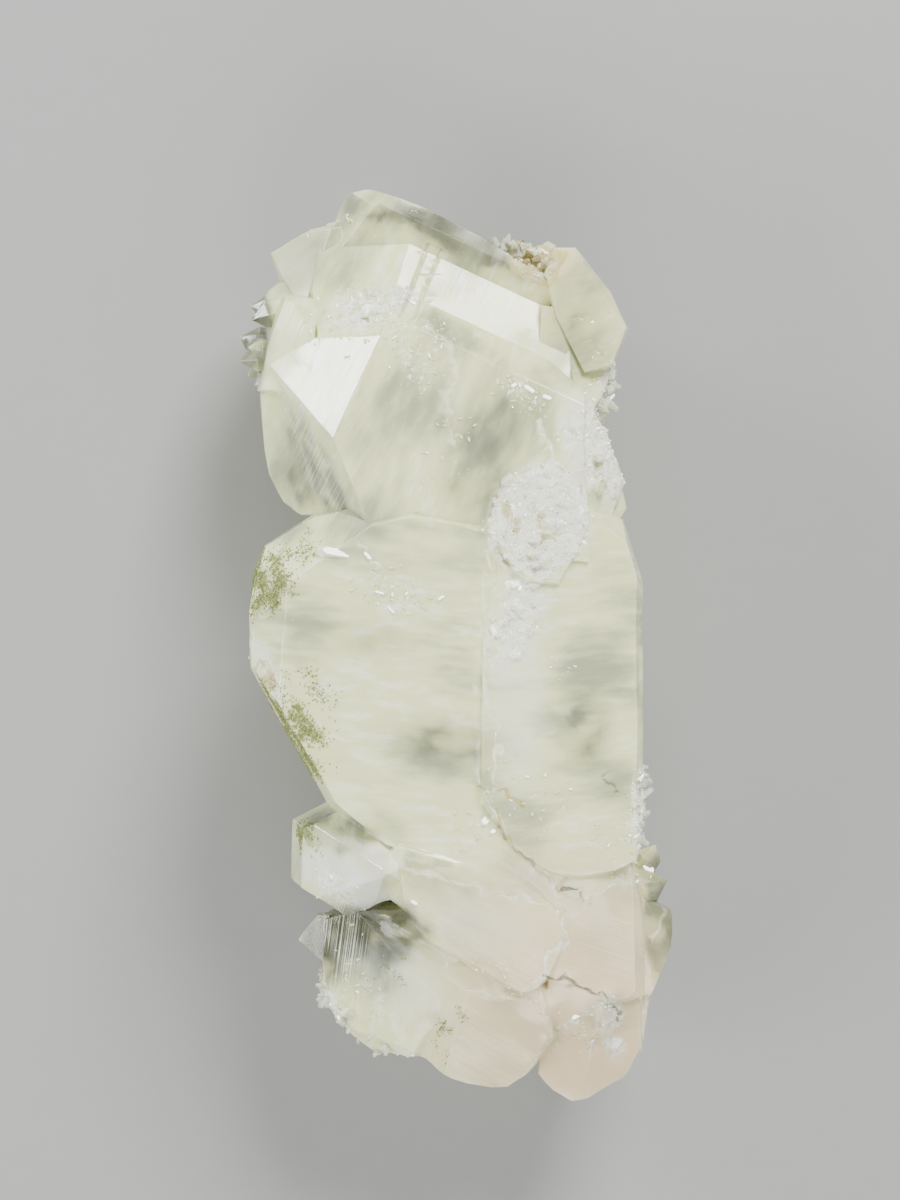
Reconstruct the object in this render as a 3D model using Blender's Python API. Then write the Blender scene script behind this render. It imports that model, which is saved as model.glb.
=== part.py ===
"""A hand specimen of quartz: crystals grown together into one solid, lying on its flat back.

Millimetres in the design, metres in the scene. X runs across the specimen, Y along it towards the end
with the large terminations, and Z up, out of the side that shows the best faces.
"""

import itertools
import math
import random

import bmesh
import bpy
from mathutils import Vector

MM = 0.001

THICKNESS = 39.0

# The angles of a quartz crystal
RHOMB_FROM_AXIS = math.radians(51.8)
SECTOR = math.radians(60.0)
FLAT_WITHIN = math.radians(0.2)

# How high the main faces stand above the flat back
FRONT_Z = 0.97 * THICKNESS
MIDDLE_Z = 0.985 * THICKNESS
BELOW_BACK = -2.0

# The upper crystals share one axis, which points up and to the left
UPPER_BEARING = 155.0

CREAM = (0.80, 0.81, 0.70, 1.0)
ROUGHNESS = 0.15
CLEARNESS = 0.35
QUARTZ_IOR = 1.544


class Habit:
    """How one quartz crystal lies: its long axis, and its six sectors counted round that axis."""

    def __init__(self, bearing, lift=0.0, turn=0.0):
        bearing, lift = math.radians(bearing), math.radians(lift)
        flat = math.cos(lift)
        self.axis = Vector((flat * math.cos(bearing), flat * math.sin(bearing), math.sin(lift)))
        upward = Vector((0.0, 0.0, 1.0))
        self.up = (upward - upward.dot(self.axis) * self.axis).normalized()
        self.side = self.axis.cross(self.up)
        self.turn = math.radians(turn)

    def outward(self, sector):
        angle = self.turn + sector * SECTOR
        return math.cos(angle) * self.up + math.sin(angle) * self.side

    def prism(self, sector, through):
        """A long face of the prism."""
        return self.outward(sector), Vector(through)

    def rhomb(self, sector, through):
        """A sloping face of the point."""
        normal = math.cos(RHOMB_FROM_AXIS) * self.axis + math.sin(RHOMB_FROM_AXIS) * self.outward(sector)
        return normal, Vector(through)


def facet(first, second, third):
    """The plane of a face that three of its corners give."""
    first, second, third = Vector(first), Vector(second), Vector(third)
    return (second - first).cross(third - first).normalized(), first


def wall(start, end, lean=0.0, z=0.0):
    """A face that stands on the line from start to end, leaning out of the vertical by lean degrees."""
    along = Vector((end[0] - start[0], end[1] - start[1], 0.0)).normalized()
    across = Vector((along.y, -along.x, 0.0))
    lean = math.radians(lean)
    normal = math.cos(lean) * across + math.sin(lean) * Vector((0.0, 0.0, 1.0))
    return normal, Vector((start[0], start[1], z))


def walls(outline, lean=0.0, z=0.0, under=16.0):
    """Two walls for each stretch of an outline that runs anticlockwise: one above the height z that leans
    in by lean degrees, and one below it that leans in by under degrees.
    """
    stretches = list(zip(outline, outline[1:]))
    return [wall(start, end, slope, z) for slope in (lean, -under) for start, end in stretches]


def floor(z=BELOW_BACK):
    return Vector((0.0, 0.0, -1.0)), Vector((0.0, 0.0, z))


def ceiling(z):
    return Vector((0.0, 0.0, 1.0)), Vector((0.0, 0.0, z))


def crystal(name, centre, planes):
    """The convex solid that the planes leave round the centre."""
    centre = Vector(centre)
    halves = []
    for normal, point in planes:
        normal = normal if (point - centre).dot(normal) > 0 else -normal
        if all(normal.dot(known) < 1 - 1e-6 for known, _ in halves):
            halves.append((normal, normal.dot(point)))
    corners = []
    for trio in itertools.combinations(halves, 3):
        (n1, d1), (n2, d2), (n3, d3) = trio
        spread = n1.dot(n2.cross(n3))
        if abs(spread) < 1e-5:
            continue
        corner = (d1 * n2.cross(n3) + d2 * n3.cross(n1) + d3 * n1.cross(n2)) / spread
        if all(normal.dot(corner) <= reach + 1e-4 for normal, reach in halves):
            corners.append(corner)
    return hull(name, corners)


def hull(name, corners):
    """The closed convex solid whose corners are given, with its flat faces whole."""
    work = bmesh.new()
    for corner in corners:
        work.verts.new(corner * MM)
    bmesh.ops.remove_doubles(work, verts=work.verts, dist=0.004 * MM)
    made = bmesh.ops.convex_hull(work, input=work.verts)
    spare = [item for item in made["geom_interior"] + made["geom_unused"] if isinstance(item, bmesh.types.BMVert)]
    bmesh.ops.delete(work, geom=list(set(spare)), context="VERTS")
    bmesh.ops.dissolve_limit(work, angle_limit=FLAT_WITHIN, verts=work.verts, edges=work.edges)
    bmesh.ops.recalc_face_normals(work, faces=work.faces)
    mesh = bpy.data.meshes.new(name)
    work.to_mesh(mesh)
    work.free()
    solid = bpy.data.objects.new(name, mesh)
    bpy.context.scene.collection.objects.link(solid)
    return solid


def quartz_point(name, tip, bearing, lift, turn, width, length, blunt=0.0):
    """A small six-sided crystal that ends in a point at tip."""
    habit = Habit(bearing, lift, turn)
    tip = Vector(tip)
    middle = tip - habit.axis * (0.5 * length)
    planes = [(-habit.axis, tip - habit.axis * length)]
    for sector in range(6):
        planes.append(habit.prism(sector, middle + habit.outward(sector) * (0.5 * width)))
        set_back = blunt * width * (sector % 2)
        planes.append(habit.rhomb(sector, tip + habit.axis * set_back))
    return crystal(name, middle, planes)


def front_crystal():
    """The large crystal whose rhomb face looks up to the left."""
    habit = Habit(UPPER_BEARING)
    shoulder = (-15.9, 27.7, FRONT_Z)
    far_shoulder = (-9.9, 40.9, FRONT_Z)
    tip_above = (-19.1, 40.7, FRONT_Z - 6.6)
    return crystal("front_crystal", (0.0, 28.0, 15.0), [
        habit.prism(0, shoulder),
        habit.prism(1, (8.0, 36.0, FRONT_Z)),
        habit.prism(2, (0.0, 45.0, 16.0)),
        habit.prism(3, (0.0, 0.0, BELOW_BACK)),
        habit.prism(-2, (-12.0, 10.0, 16.0)),
        habit.prism(-1, (-13.0, 17.0, FRONT_Z)),
        habit.rhomb(0, shoulder),
        habit.rhomb(-1, shoulder),
        habit.rhomb(1, far_shoulder),
        habit.rhomb(2, tip_above),
        habit.rhomb(-2, (-22.0, 30.0, 18.0)),
        habit.rhomb(3, (-20.0, 34.0, 8.0)),
        *walls([(17.4, 20.0), (17.0, 33.4), (12.0, 40.0)], 4.0, 34.0),
        wall((-19.0, 15.0), (12.0, 13.0), -8.0, 30.0),
    ])


def left_crystal():
    """The glassy crystal under the front one's point, down to the waist."""
    rim = [(-19.0, 38.6), (-25.6, 36.5), (-26.1, 34.1), (-25.5, 23.4), (-23.3, 19.5), (-20.7, 18.0), (-16.6, 17.6),
           (-10.0, 17.0)]
    return crystal("left_crystal", (-19.0, 27.0, 14.0), [
        facet((-23.6, 36.4, 29.4), (-20.9, 27.6, 27.2), (-26.1, 30.0, 22.6)),
        facet((-20.5, 25.8, 27.0), (-24.4, 22.9, 22.5), (-16.6, 18.3, 28.0)),
        facet((-24.6, 34.0, 26.6), (-22.4, 37.6, 29.4), (-26.0, 37.0, 23.0)),
        *walls(rim, 5.0, 21.0),
        wall((-10.0, 17.0), (-10.0, 38.0)),
        facet((-26.0, 30.0, 13.0), (-24.0, 20.0, 12.0), (-14.0, 25.0, 1.0)),
        ceiling(29.6),
        floor(3.0),
    ])


def shoulder_crystals():
    """The two crystals beside the front one's point, one step lower."""
    lower = crystal("shoulder_left", (-20.0, 41.0, 16.0), [
        facet((-23.7, 36.8, 28.6), (-23.1, 46.6, 27.6), (-18.7, 43.0, 31.2)),
        facet((-18.8, 44.7, 31.2), (-23.1, 46.6, 27.6), (-14.0, 46.6, 29.4)),
        *walls([(-16.0, 47.0), (-22.8, 47.4), (-25.2, 40.4), (-26.0, 36.0)], 10.0, 25.0),
        wall((-26.0, 34.5), (-14.0, 33.5)),
        wall((-18.4, 34.0), (-18.4, 47.0)),
        facet((-26.0, 40.0, 14.0), (-23.0, 47.0, 13.0), (-15.0, 38.0, 2.0)),
        ceiling(31.2),
        floor(5.0),
    ])
    upper = crystal("shoulder_top", (-10.0, 43.0, 16.0), [
        facet((-18.4, 41.1, 30.6), (-14.2, 46.4, 29.6), (-5.7, 45.2, 32.4)),
        *walls([(-8.0, 47.0), (-16.0, 47.4), (-18.8, 44.5), (-18.8, 36.0)], 8.0, 28.0),
        wall((-19.0, 36.0), (-4.0, 36.0)),
        wall((-8.4, 36.0), (-8.4, 48.0)),
        ceiling(30.7),
        floor(6.0),
    ])
    return lower, upper


def band_crystal():
    """The long prism behind the front one. Its bright face is a band across the specimen."""
    habit = Habit(UPPER_BEARING, 0.0, 25.0)
    foot_of_band = (5.4, 41.9, 31.0)
    return crystal("band_crystal", (-2.0, 46.0, 15.0), [
        habit.prism(0, foot_of_band),
        habit.prism(1, (5.3, 49.8, 26.0)),
        habit.prism(2, (5.3, 50.0, 12.0)),
        facet((-8.0, 46.6, 31.7), (-5.3, 53.7, 28.5), (-18.0, 52.0, 26.0)),
        *walls([(-4.0, 56.6), (-11.0, 58.4), (-17.2, 57.0), (-19.5, 47.6), (-19.0, 38.0), (14.0, 30.0)], 8.0, 24.0),
        *walls([(15.2, 30.0), (15.3, 37.0), (14.8, 44.6)], 8.0, 30.0),
        facet((-18.0, 50.0, 10.0), (-12.0, 57.0, 12.0), (-4.0, 44.0, 0.0)),
        floor(1.0),
    ])


def back_ridge():
    """The hindmost long prism. Its crest runs along the upper edge."""
    habit = Habit(UPPER_BEARING, 0.0, -30.0)
    crest = (2.8, 53.0, 30.0)
    return crystal("back_ridge", (-1.0, 52.0, 18.0), [
        habit.prism(0, crest),
        habit.prism(1, crest),
        habit.prism(-1, (0.0, 44.0, 25.0)),
        facet((-10.6, 58.6, 29.8), (-12.0, 61.2, 27.4), (-12.4, 54.0, 29.0)),
        facet((-10.8, 58.4, 29.8), (-16.2, 58.0, 26.4), (-12.3, 61.4, 26.0)),
        *walls([(13.2, 47.6), (13.4, 49.4), (3.3, 54.9), (-1.7, 57.9), (-7.3, 60.1), (-12.0, 61.2), (-14.6, 60.9),
                (-15.6, 59.4), (-16.5, 57.4), (-16.0, 52.0), (-8.0, 44.0), (12.0, 42.0), (13.2, 47.6)],
               6.0, 27.0, 10.0),
        facet((-16.0, 57.0, 14.0), (2.0, 56.0, 12.0), (0.0, 48.0, 5.0)),
        floor(7.0),
    ])


def upper_left_crystal():
    """The stepped crystal in the upper left corner."""
    upper = crystal("upper_left", (-19.5, 51.5, 16.0), [
        facet((-17.6, 56.0, 24.8), (-19.3, 48.0, 25.6), (-24.6, 53.2, 20.5)),
        facet((-19.4, 56.3, 23.2), (-24.6, 53.3, 20.2), (-18.0, 57.5, 19.0)),
        *walls([(-16.8, 57.0), (-19.4, 56.4), (-21.9, 55.2), (-24.8, 53.4), (-23.6, 49.8), (-22.0, 46.6)], 10.0, 20.0),
        wall((-15.0, 46.0), (-15.0, 57.0)),
        wall((-24.0, 45.8), (-14.0, 45.8)),
        facet((-24.0, 51.0, 13.0), (-18.0, 56.0, 12.0), (-15.0, 47.0, 4.0)),
        ceiling(25.6),
        floor(6.0),
    ])
    lower = crystal("upper_left_step", (-22.0, 46.0, 16.0), [
        facet((-20.0, 49.0, 24.6), (-20.0, 44.0, 25.4), (-26.0, 46.0, 20.8)),
        *walls([(-20.5, 50.4), (-23.6, 49.6), (-25.8, 47.6), (-25.6, 42.5)], 8.0, 19.0),
        wall((-17.0, 42.0), (-17.0, 50.0)),
        wall((-26.0, 41.0), (-17.0, 41.0)),
        ceiling(25.4),
        floor(9.0),
    ])
    return upper, lower


def right_crystals():
    """The pinkish crystal at the upper right and the rough pieces below it."""
    habit = Habit(-57.0, 0.0, 4.0)
    ridge = (19.0, 47.7, 31.0)
    tall = crystal("upper_right", (17.0, 45.0, 16.0), [
        habit.prism(0, ridge),
        habit.prism(-1, ridge),
        *walls([(17.0, 36.5), (20.8, 37.3), (22.0, 40.0), (22.9, 42.5), (20.6, 47.4), (16.0, 53.3), (12.9, 53.3),
                (11.9, 49.6), (13.0, 44.0), (17.0, 36.5)], 9.0, 29.0, 12.0),
        facet((20.0, 50.0, 12.0), (23.0, 41.0, 13.0), (12.0, 44.0, 3.0)),
        floor(5.0),
    ])
    low = crystal("right_shelf", (17.0, 38.5, 16.0), [
        facet((14.8, 43.6, 29.6), (20.9, 38.2, 27.4), (15.8, 36.5, 30.2)),
        ceiling(30.4),
        *walls([(21.8, 40.0), (19.5, 45.0), (11.0, 46.0), (10.0, 30.0), (18.2, 31.0), (20.4, 35.4), (21.8, 40.0)],
               8.0, 27.0, 6.0),
        floor(6.0),
    ])
    flakes = [
        crystal("right_flake_upper", (19.6, 35.6, 20.0), [
            facet((18.0, 36.6, 26.0), (21.4, 34.7, 24.2), (18.4, 34.0, 25.4)),
            *walls([(20.4, 37.5), (12.0, 38.0), (12.0, 32.6), (20.3, 33.8), (21.5, 34.7), (20.4, 37.5)],
                   10.0, 24.0),
            floor(12.0),
        ]),
        crystal("right_flake_lower", (18.0, 32.4, 20.0), [
            facet((17.6, 34.0, 27.0), (20.8, 33.0, 24.4), (19.0, 30.4, 25.6)),
            *walls([(20.9, 33.1), (19.8, 34.6), (12.0, 34.4), (12.0, 29.6), (19.9, 30.2), (20.9, 33.1)],
                   12.0, 23.5),
            ceiling(27.0),
            floor(13.0),
        ]),
    ]
    recess = crystal("stained_recess", (10.5, 51.0, 16.0), [
        ceiling(25.2),
        *walls([(14.4, 52.4), (8.2, 53.4), (4.0, 52.0), (4.0, 40.0), (15.0, 40.0), (14.4, 52.4)], 8.0, 25.0, 10.0),
        floor(6.0),
    ])
    return tall, low, flakes, recess


def right_end():
    """The rough broken end of the front crystal, and the sliver beside it."""
    rough = crystal("right_end", (17.0, 26.0, 18.0), [
        facet((11.3, 30.5, 37.6), (13.8, 24.1, 37.4), (21.5, 26.5, 32.0)),
        facet((13.8, 24.1, 37.4), (18.6, 17.0, 33.6), (22.4, 22.6, 30.0)),
        facet((12.6, 31.0, 37.0), (17.0, 33.0, 33.6), (20.3, 27.2, 32.4)),
        ceiling(37.7),
        *walls([(22.7, 22.3), (20.6, 27.4), (18.9, 30.6), (17.2, 33.6), (10.5, 32.8), (9.0, 22.0),
                (13.0, 15.0), (20.6, 16.6), (22.7, 22.3)], 7.0, 28.0),
        facet((22.0, 26.0, 12.0), (21.0, 18.0, 11.0), (12.0, 24.0, 2.0)),
        floor(3.0),
    ])
    sliver = crystal("right_sliver", (19.0, 19.4, 20.0), [
        facet((20.0, 22.0, 30.4), (22.6, 19.4, 28.0), (20.6, 16.8, 30.0)),
        *walls([(22.8, 18.7), (22.2, 21.6), (15.0, 22.5), (15.0, 16.0), (21.8, 16.9), (22.8, 18.7)], 9.0, 27.0),
        ceiling(31.0),
        floor(10.0),
    ])
    return rough, sliver


def sugary_patch():
    """The round patch of broken quartz where another crystal once sat."""
    rim = [(17.6, 16.2), (16.6, 19.4), (13.0, 24.2), (7.8, 22.6), (5.5, 20.6), (4.2, 15.6), (5.7, 12.6),
           (9.1, 8.9), (13.8, 8.6), (15.6, 12.4), (17.6, 16.2)]
    return crystal("sugary_patch", (10.5, 16.5, 30.0), [
        facet((6.0, 20.0, 39.2), (15.0, 19.0, 38.4), (10.0, 10.0, 38.8)),
        facet((8.0, 22.0, 38.9), (5.6, 19.8, 38.4), (7.0, 12.0, 39.1)),
        *walls(rim, 24.0, 38.0),
        floor(18.0),
    ])


def left_middle():
    """The broad crystal left of the middle, with the steep strip down its lower left side."""
    top = MIDDLE_Z
    return crystal("left_middle", (-11.0, -2.0, 16.0), [
        facet((4.6, 8.0, top), (4.6, -28.0, top - 2.0), (-20.0, -5.0, top - 1.8)),
        facet((-22.5, 8.0, top - 1.9), (-22.8, -4.0, top - 1.9), (-27.0, 2.0, top - 7.0)),
        facet((-20.5, 11.0, top - 2.0), (-14.0, 16.0, top - 1.8), (-23.0, 16.0, top - 7.0)),
        facet((-12.0, 17.0, top - 1.4), (-5.7, 18.0, top - 0.9), (-12.0, 20.0, top - 6.0)),
        facet((-5.7, 18.0, top - 0.9), (4.1, 15.8, top - 0.3), (0.0, 19.0, top - 4.6)),
        *walls([(4.6, 17.0), (-6.0, 19.6), (-14.0, 19.2), (-19.1, 17.8), (-21.1, 16.5), (-25.0, 14.3),
                (-26.6, 9.6), (-27.4, 5.0), (-27.2, -2.0)], 6.0, 28.0),
        *walls([(-27.3, -1.8), (-16.6, -20.6), (-9.4, -26.4), (5.4, -30.0)], 11.0, 30.0, 12.0),
        wall((5.4, -30.0), (5.4, 16.0)),
        facet((-27.0, -4.0, 12.0), (-27.0, 10.0, 12.0), (-18.0, 0.0, 0.0)),
        facet((-24.0, -8.0, 10.0), (-14.0, -24.0, 11.0), (-13.0, -10.0, 0.0)),
        floor(BELOW_BACK),
    ])


def right_middle():
    """The broad crystal right of the middle. Its straight right side is a prism edge."""
    top = MIDDLE_Z
    return crystal("right_middle", (12.0, -5.0, 16.0), [
        facet((4.2, 8.0, top + 0.1), (4.2, -20.0, top + 0.1), (23.0, -5.0, top - 1.6)),
        facet((23.6, 8.0, top - 1.7), (23.6, -20.0, top - 1.7), (24.6, -5.0, top - 5.0)),
        wall((24.8, -24.0), (24.8, 8.0), 2.0, 26.0),
        facet((24.8, -20.0, 16.0), (24.8, 8.0, 16.0), (17.0, -5.0, 0.0)),
        facet((18.2, 18.0, top - 1.4), (24.2, 12.2, top - 2.2), (23.0, 16.0, top - 6.0)),
        *walls([(24.9, 8.0), (22.2, 17.2), (17.0, 19.0), (5.6, 18.2)], 8.0, 31.0),
        *walls([(4.0, -20.6), (7.0, -25.2), (10.6, -28.2), (15.0, -29.9), (19.0, -29.7), (23.9, -27.2),
                (25.0, -23.0)], 20.0, top - 1.4, 10.0),
        wall((3.8, 20.0), (3.4, -22.0)),
        floor(BELOW_BACK - 0.7),
    ])


def small_clear_crystal():
    """The small clear crystal at the lower left, which points out of the specimen."""
    habit = Habit(-20.0, 78.0, 18.0)
    tip = Vector((-9.0, -28.9, 39.0))
    middle = Vector((-13.9, -27.5, 30.0))
    planes = [(-habit.axis, Vector((-14.0, -27.0, 19.0)))]
    half_width = (6.0, 6.6, 6.3, 6.2, 6.5, 6.2)
    for sector, reach in enumerate(half_width):
        planes.append(habit.prism(sector, middle + habit.outward(sector) * reach))
        planes.append(habit.rhomb(sector, tip + habit.axis * (0.4 * (sector % 2))))
    return crystal("small_clear", middle, planes)


def diagonal_crystal():
    """The crystal that runs down to the right below the middle."""
    return crystal("diagonal", (3.0, -36.0, 18.0), [
        facet((-6.0, -29.0, 36.4), (14.0, -34.5, 36.0), (6.0, -44.5, 33.8)),
        facet((-7.0, -29.0, 36.4), (-7.2, -35.6, 34.0), (-10.6, -31.5, 32.0)),
        ceiling(36.8),
        *walls([(15.2, -37.9), (14.2, -34.0), (9.5, -29.0), (-8.0, -24.0), (-11.4, -31.0), (-7.6, -36.3),
                (-3.9, -38.3), (-0.9, -41.6), (1.6, -44.6), (5.0, -46.2), (8.0, -46.2), (12.0, -44.0),
                (15.2, -37.9)], 16.0, 33.0),
        floor(0.5),
    ])


def lower_left_crystal():
    """The clear striated crystal at the lower left and its pointed edge."""
    plate = crystal("lower_left", (-9.0, -43.0, 14.0), [
        facet((-17.6, -36.0, 28.6), (-17.0, -46.5, 25.6), (-2.0, -48.0, 30.0)),
        ceiling(30.6),
        facet((-16.0, -48.4, 26.2), (-9.0, -51.6, 27.0), (-11.7, -54.0, 23.0)),
        *walls([(2.5, -40.0), (2.5, -32.0), (-13.6, -33.6), (-17.6, -35.2), (-18.0, -41.3), (-17.6, -46.8),
                (-13.6, -51.4), (-11.0, -53.4), (-6.0, -54.4), (-4.4, -54.2), (2.5, -40.0)], 8.0, 24.0),
        facet((-17.0, -40.0, 12.0), (-13.0, -51.0, 12.5), (-4.0, -43.0, 1.0)),
        floor(1.0),
    ])
    point = crystal("lower_left_point", (-18.3, -38.4, 22.0), [
        facet((-18.0, -35.2, 27.6), (-21.2, -38.7, 25.4), (-15.6, -40.0, 27.6)),
        ceiling(28.2),
        *walls([(-14.0, -34.6), (-18.3, -35.0), (-21.3, -38.7), (-17.7, -41.4), (-14.0, -42.0), (-14.0, -34.6)],
               6.0, 26.0),
        facet((-21.0, -38.7, 19.0), (-16.0, -35.0, 14.0), (-16.0, -42.0, 14.0)),
    ])
    return plate, point


def bottom_crystals():
    """The broken crystals of the lower end."""
    centre_piece = crystal("bottom_centre", (4.0, -50.0, 14.0), [
        facet((-1.0, -46.0, 31.4), (11.3, -46.4, 31.8), (6.0, -57.0, 25.4)),
        facet((-4.0, -44.0, 30.4), (-4.8, -54.4, 25.0), (1.0, -50.0, 29.4)),
        ceiling(32.0),
        *walls([(11.6, -40.0), (-6.0, -40.0), (-5.6, -53.6), (-0.9, -57.2), (1.6, -58.2), (4.9, -58.9),
                (7.2, -58.8), (10.4, -56.0), (13.6, -51.3), (12.7, -45.0), (11.6, -40.0)], 14.0, 26.0),
        facet((2.0, -58.0, 12.0), (10.0, -56.0, 12.0), (4.0, -45.0, 0.0)),
        floor(0.5),
    ])
    right_piece = crystal("bottom_right", (18.0, -51.0, 14.0), [
        facet((11.9, -42.5, 31.4), (21.3, -47.8, 29.6), (15.0, -58.0, 22.6)),
        facet((21.0, -46.0, 29.8), (20.0, -56.0, 23.5), (25.4, -52.0, 24.5)),
        ceiling(31.6),
        *walls([(25.2, -53.0), (25.6, -46.0), (20.0, -41.5), (11.0, -40.0), (11.0, -57.0), (13.0, -59.4),
                (15.6, -61.2), (18.2, -60.6), (22.6, -57.6), (25.2, -53.0)], 10.0, 22.0),
        facet((14.0, -61.0, 10.0), (24.0, -55.0, 12.0), (15.0, -44.0, 2.0)),
        floor(1.5),
    ])
    shelf = crystal("lower_right", (18.0, -37.0, 15.0), [
        facet((14.7, -29.7, 36.0), (23.6, -28.0, 34.6), (20.0, -45.0, 31.6)),
        facet((23.2, -28.0, 34.6), (23.6, -42.0, 31.6), (26.0, -38.0, 29.0)),
        ceiling(34.7),
        *walls([(26.2, -41.5), (24.7, -32.8), (24.0, -22.0), (3.0, -20.0), (3.0, -31.0), (12.5, -43.9),
                (20.5, -46.6), (25.9, -45.9), (26.2, -41.5)], 10.0, 30.0, 12.0),
        facet((25.0, -40.0, 14.0), (24.5, -30.0, 14.0), (16.0, -36.0, 0.0)),
        floor(BELOW_BACK + 0.5),
    ])
    return centre_piece, right_piece, shelf


def root_mass():
    """The massive quartz that the crystals grow out of, broken off flat from its rock."""
    upper = crystal("upper_root", (0.0, 34.0, 10.0), [
        *walls([(18.0, 19.0), (18.6, 36.0), (13.0, 47.0), (-1.0, 54.5), (-12.0, 55.5), (-20.0, 50.0), (-23.0, 40.0),
                (-22.0, 26.0), (-17.0, 18.0), (-12.0, 6.0), (12.0, 4.0), (18.0, 19.0)], 32.0, 12.0, 9.0),
        facet((18.0, 40.0, 10.0), (6.0, 52.0, 9.0), (4.0, 40.0, -1.0)),
        facet((-22.0, 44.0, 11.0), (-16.0, 54.0, 10.0), (-12.0, 40.0, -2.0)),
        facet((-22.0, 28.0, 9.0), (-18.0, 16.0, 8.0), (-12.0, 26.0, -3.0)),
        ceiling(24.0),
        floor(),
    ])
    lower = crystal("lower_root", (4.0, -36.0, 10.0), [
        *walls([(21.0, -18.0), (22.0, -40.0), (19.0, -51.0), (11.0, -54.0), (-6.0, -50.0), (-13.0, -43.0),
                (-12.5, -30.0), (-10.0, -16.0), (21.0, -18.0)], 30.0, 12.0, 10.0),
        facet((-12.0, -40.0, 9.0), (-2.0, -51.0, 10.0), (-2.0, -40.0, -2.0)),
        facet((21.0, -34.0, 10.0), (18.0, -50.0, 9.0), (14.0, -38.0, -3.0)),
        ceiling(24.0),
        floor(),
    ])
    return upper, lower


def edge_plates():
    """The thin crystals that stick out along the lower right edge."""
    upper = crystal("edge_plate_upper", (26.6, -37.5, 21.0), [
        facet((24.0, -32.8, 27.0), (29.0, -35.0, 24.6), (27.0, -44.0, 25.0)),
        *walls([(28.8, -39.9), (29.1, -37.2), (29.0, -34.7), (24.8, -32.6), (22.5, -34.0), (22.5, -46.0),
                (26.3, -46.2), (28.8, -39.9)], 8.0, 24.0),
        facet((29.0, -36.0, 19.0), (26.0, -45.0, 18.0), (22.0, -38.0, 13.0)),
        floor(12.0),
    ])
    lower = crystal("edge_plate_lower", (24.4, -49.5, 19.0), [
        facet((23.0, -44.0, 26.0), (26.0, -47.0, 23.8), (24.8, -54.0, 22.0)),
        *walls([(25.0, -53.8), (25.9, -49.0), (26.6, -45.0), (22.0, -43.0), (21.0, -54.0), (25.0, -53.8)],
               9.0, 22.0),
        floor(11.0),
    ])
    return upper, lower


# Small crystals that stand out of the edges: tip, bearing, lift, turn, width, length
EDGE_POINTS = [
    ((-27.6, 46.2, 19.5), 172.0, 6.0, 10.0, 5.2, 9.0),
    ((-27.3, 44.2, 22.0), 196.0, 10.0, 24.0, 3.4, 7.0),
    ((-29.0, 42.0, 18.5), 166.0, 4.0, 0.0, 3.6, 9.0),
    ((-28.9, 38.8, 20.5), 190.0, 12.0, 18.0, 3.2, 8.0),
    ((-28.0, 37.0, 17.5), 202.0, 0.0, 30.0, 2.8, 7.0),
    ((-27.6, 40.4, 23.0), 178.0, 26.0, 12.0, 2.4, 6.0),
    ((-26.9, 35.6, 19.0), 214.0, 4.0, 6.0, 2.2, 5.0),
    ((28.4, -30.6, 26.0), 18.0, 26.0, 14.0, 4.6, 9.0),
    ((26.8, -26.0, 24.5), 62.0, 24.0, 2.0, 3.0, 7.0),
    ((29.0, -35.2, 21.5), 8.0, -6.0, 22.0, 3.4, 8.0),
    ((6.6, 54.6, 27.0), 96.0, 40.0, 10.0, 1.6, 4.0),
    ((7.8, 54.4, 27.4), 80.0, 30.0, 30.0, 1.5, 4.0),
    ((8.7, 53.6, 26.8), 64.0, 34.0, 18.0, 1.6, 4.0),
]


def edge_points():
    return [quartz_point("edge_point", *placed) for placed in EDGE_POINTS]


# Rough places that small crystals cover: middle, half length and half width, bearing, count
ROUGH_PLACES = [
    ((10.4, 16.4, 38.9), 6.0, 5.2, 60.0, 18),
    ((8.6, 5.0, 38.4), 5.6, 2.0, 66.0, 9),
    ((-11.0, 45.2, 31.4), 5.0, 1.4, 12.0, 8),
    ((17.0, 25.0, 34.6), 4.4, 2.0, -62.0, 6),
    ((10.4, 51.2, 25.4), 2.4, 1.2, -20.0, 6),
]
GRAIN_WIDTHS = (1.2, 2.4)


def rough_places():
    """Small crystals, mostly sunk, that break up the sugary places."""
    dice = random.Random(11)
    grown = []
    for (x, y, z), half_length, half_width, bearing, count in ROUGH_PLACES:
        along = Vector((math.cos(math.radians(bearing)), math.sin(math.radians(bearing)), 0.0))
        across = Vector((-along.y, along.x, 0.0))
        for _ in range(count):
            reach, angle = math.sqrt(dice.random()), dice.uniform(0.0, 2.0 * math.pi)
            place = Vector((x, y, z)) + along * (half_length * reach * math.cos(angle))
            place += across * (half_width * reach * math.sin(angle)) + Vector((0.0, 0.0, dice.uniform(-0.2, 0.6)))
            width = dice.uniform(*GRAIN_WIDTHS)
            grown.append(quartz_point("rough_point", place, dice.uniform(0.0, 360.0), dice.uniform(35.0, 80.0),
                                      dice.uniform(0.0, 60.0), width, 2.6 * width))
    return grown


def joined(name, pieces):
    """One closed body of all the pieces."""
    whole = pieces[0]
    whole.name = name
    for piece in pieces[1:]:
        union = whole.modifiers.new("grown together", "BOOLEAN")
        union.operation = "UNION"
        union.solver = "EXACT"
        union.object = piece
        baked = evaluated_mesh(whole)
        whole.modifiers.clear()
        whole.data = baked
        bpy.data.objects.remove(piece)
    return whole


def quartz_material():
    material = bpy.data.materials.new("quartz")
    material.use_nodes = True
    shader = material.node_tree.nodes["Principled BSDF"]
    shader.inputs["Base Color"].default_value = CREAM
    shader.inputs["Roughness"].default_value = ROUGHNESS
    shader.inputs["Transmission Weight"].default_value = CLEARNESS
    shader.inputs["IOR"].default_value = QUARTZ_IOR
    return material


def evaluated_mesh(thing):
    graph = bpy.context.evaluated_depsgraph_get()
    return bpy.data.meshes.new_from_object(thing.evaluated_get(graph))


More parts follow.
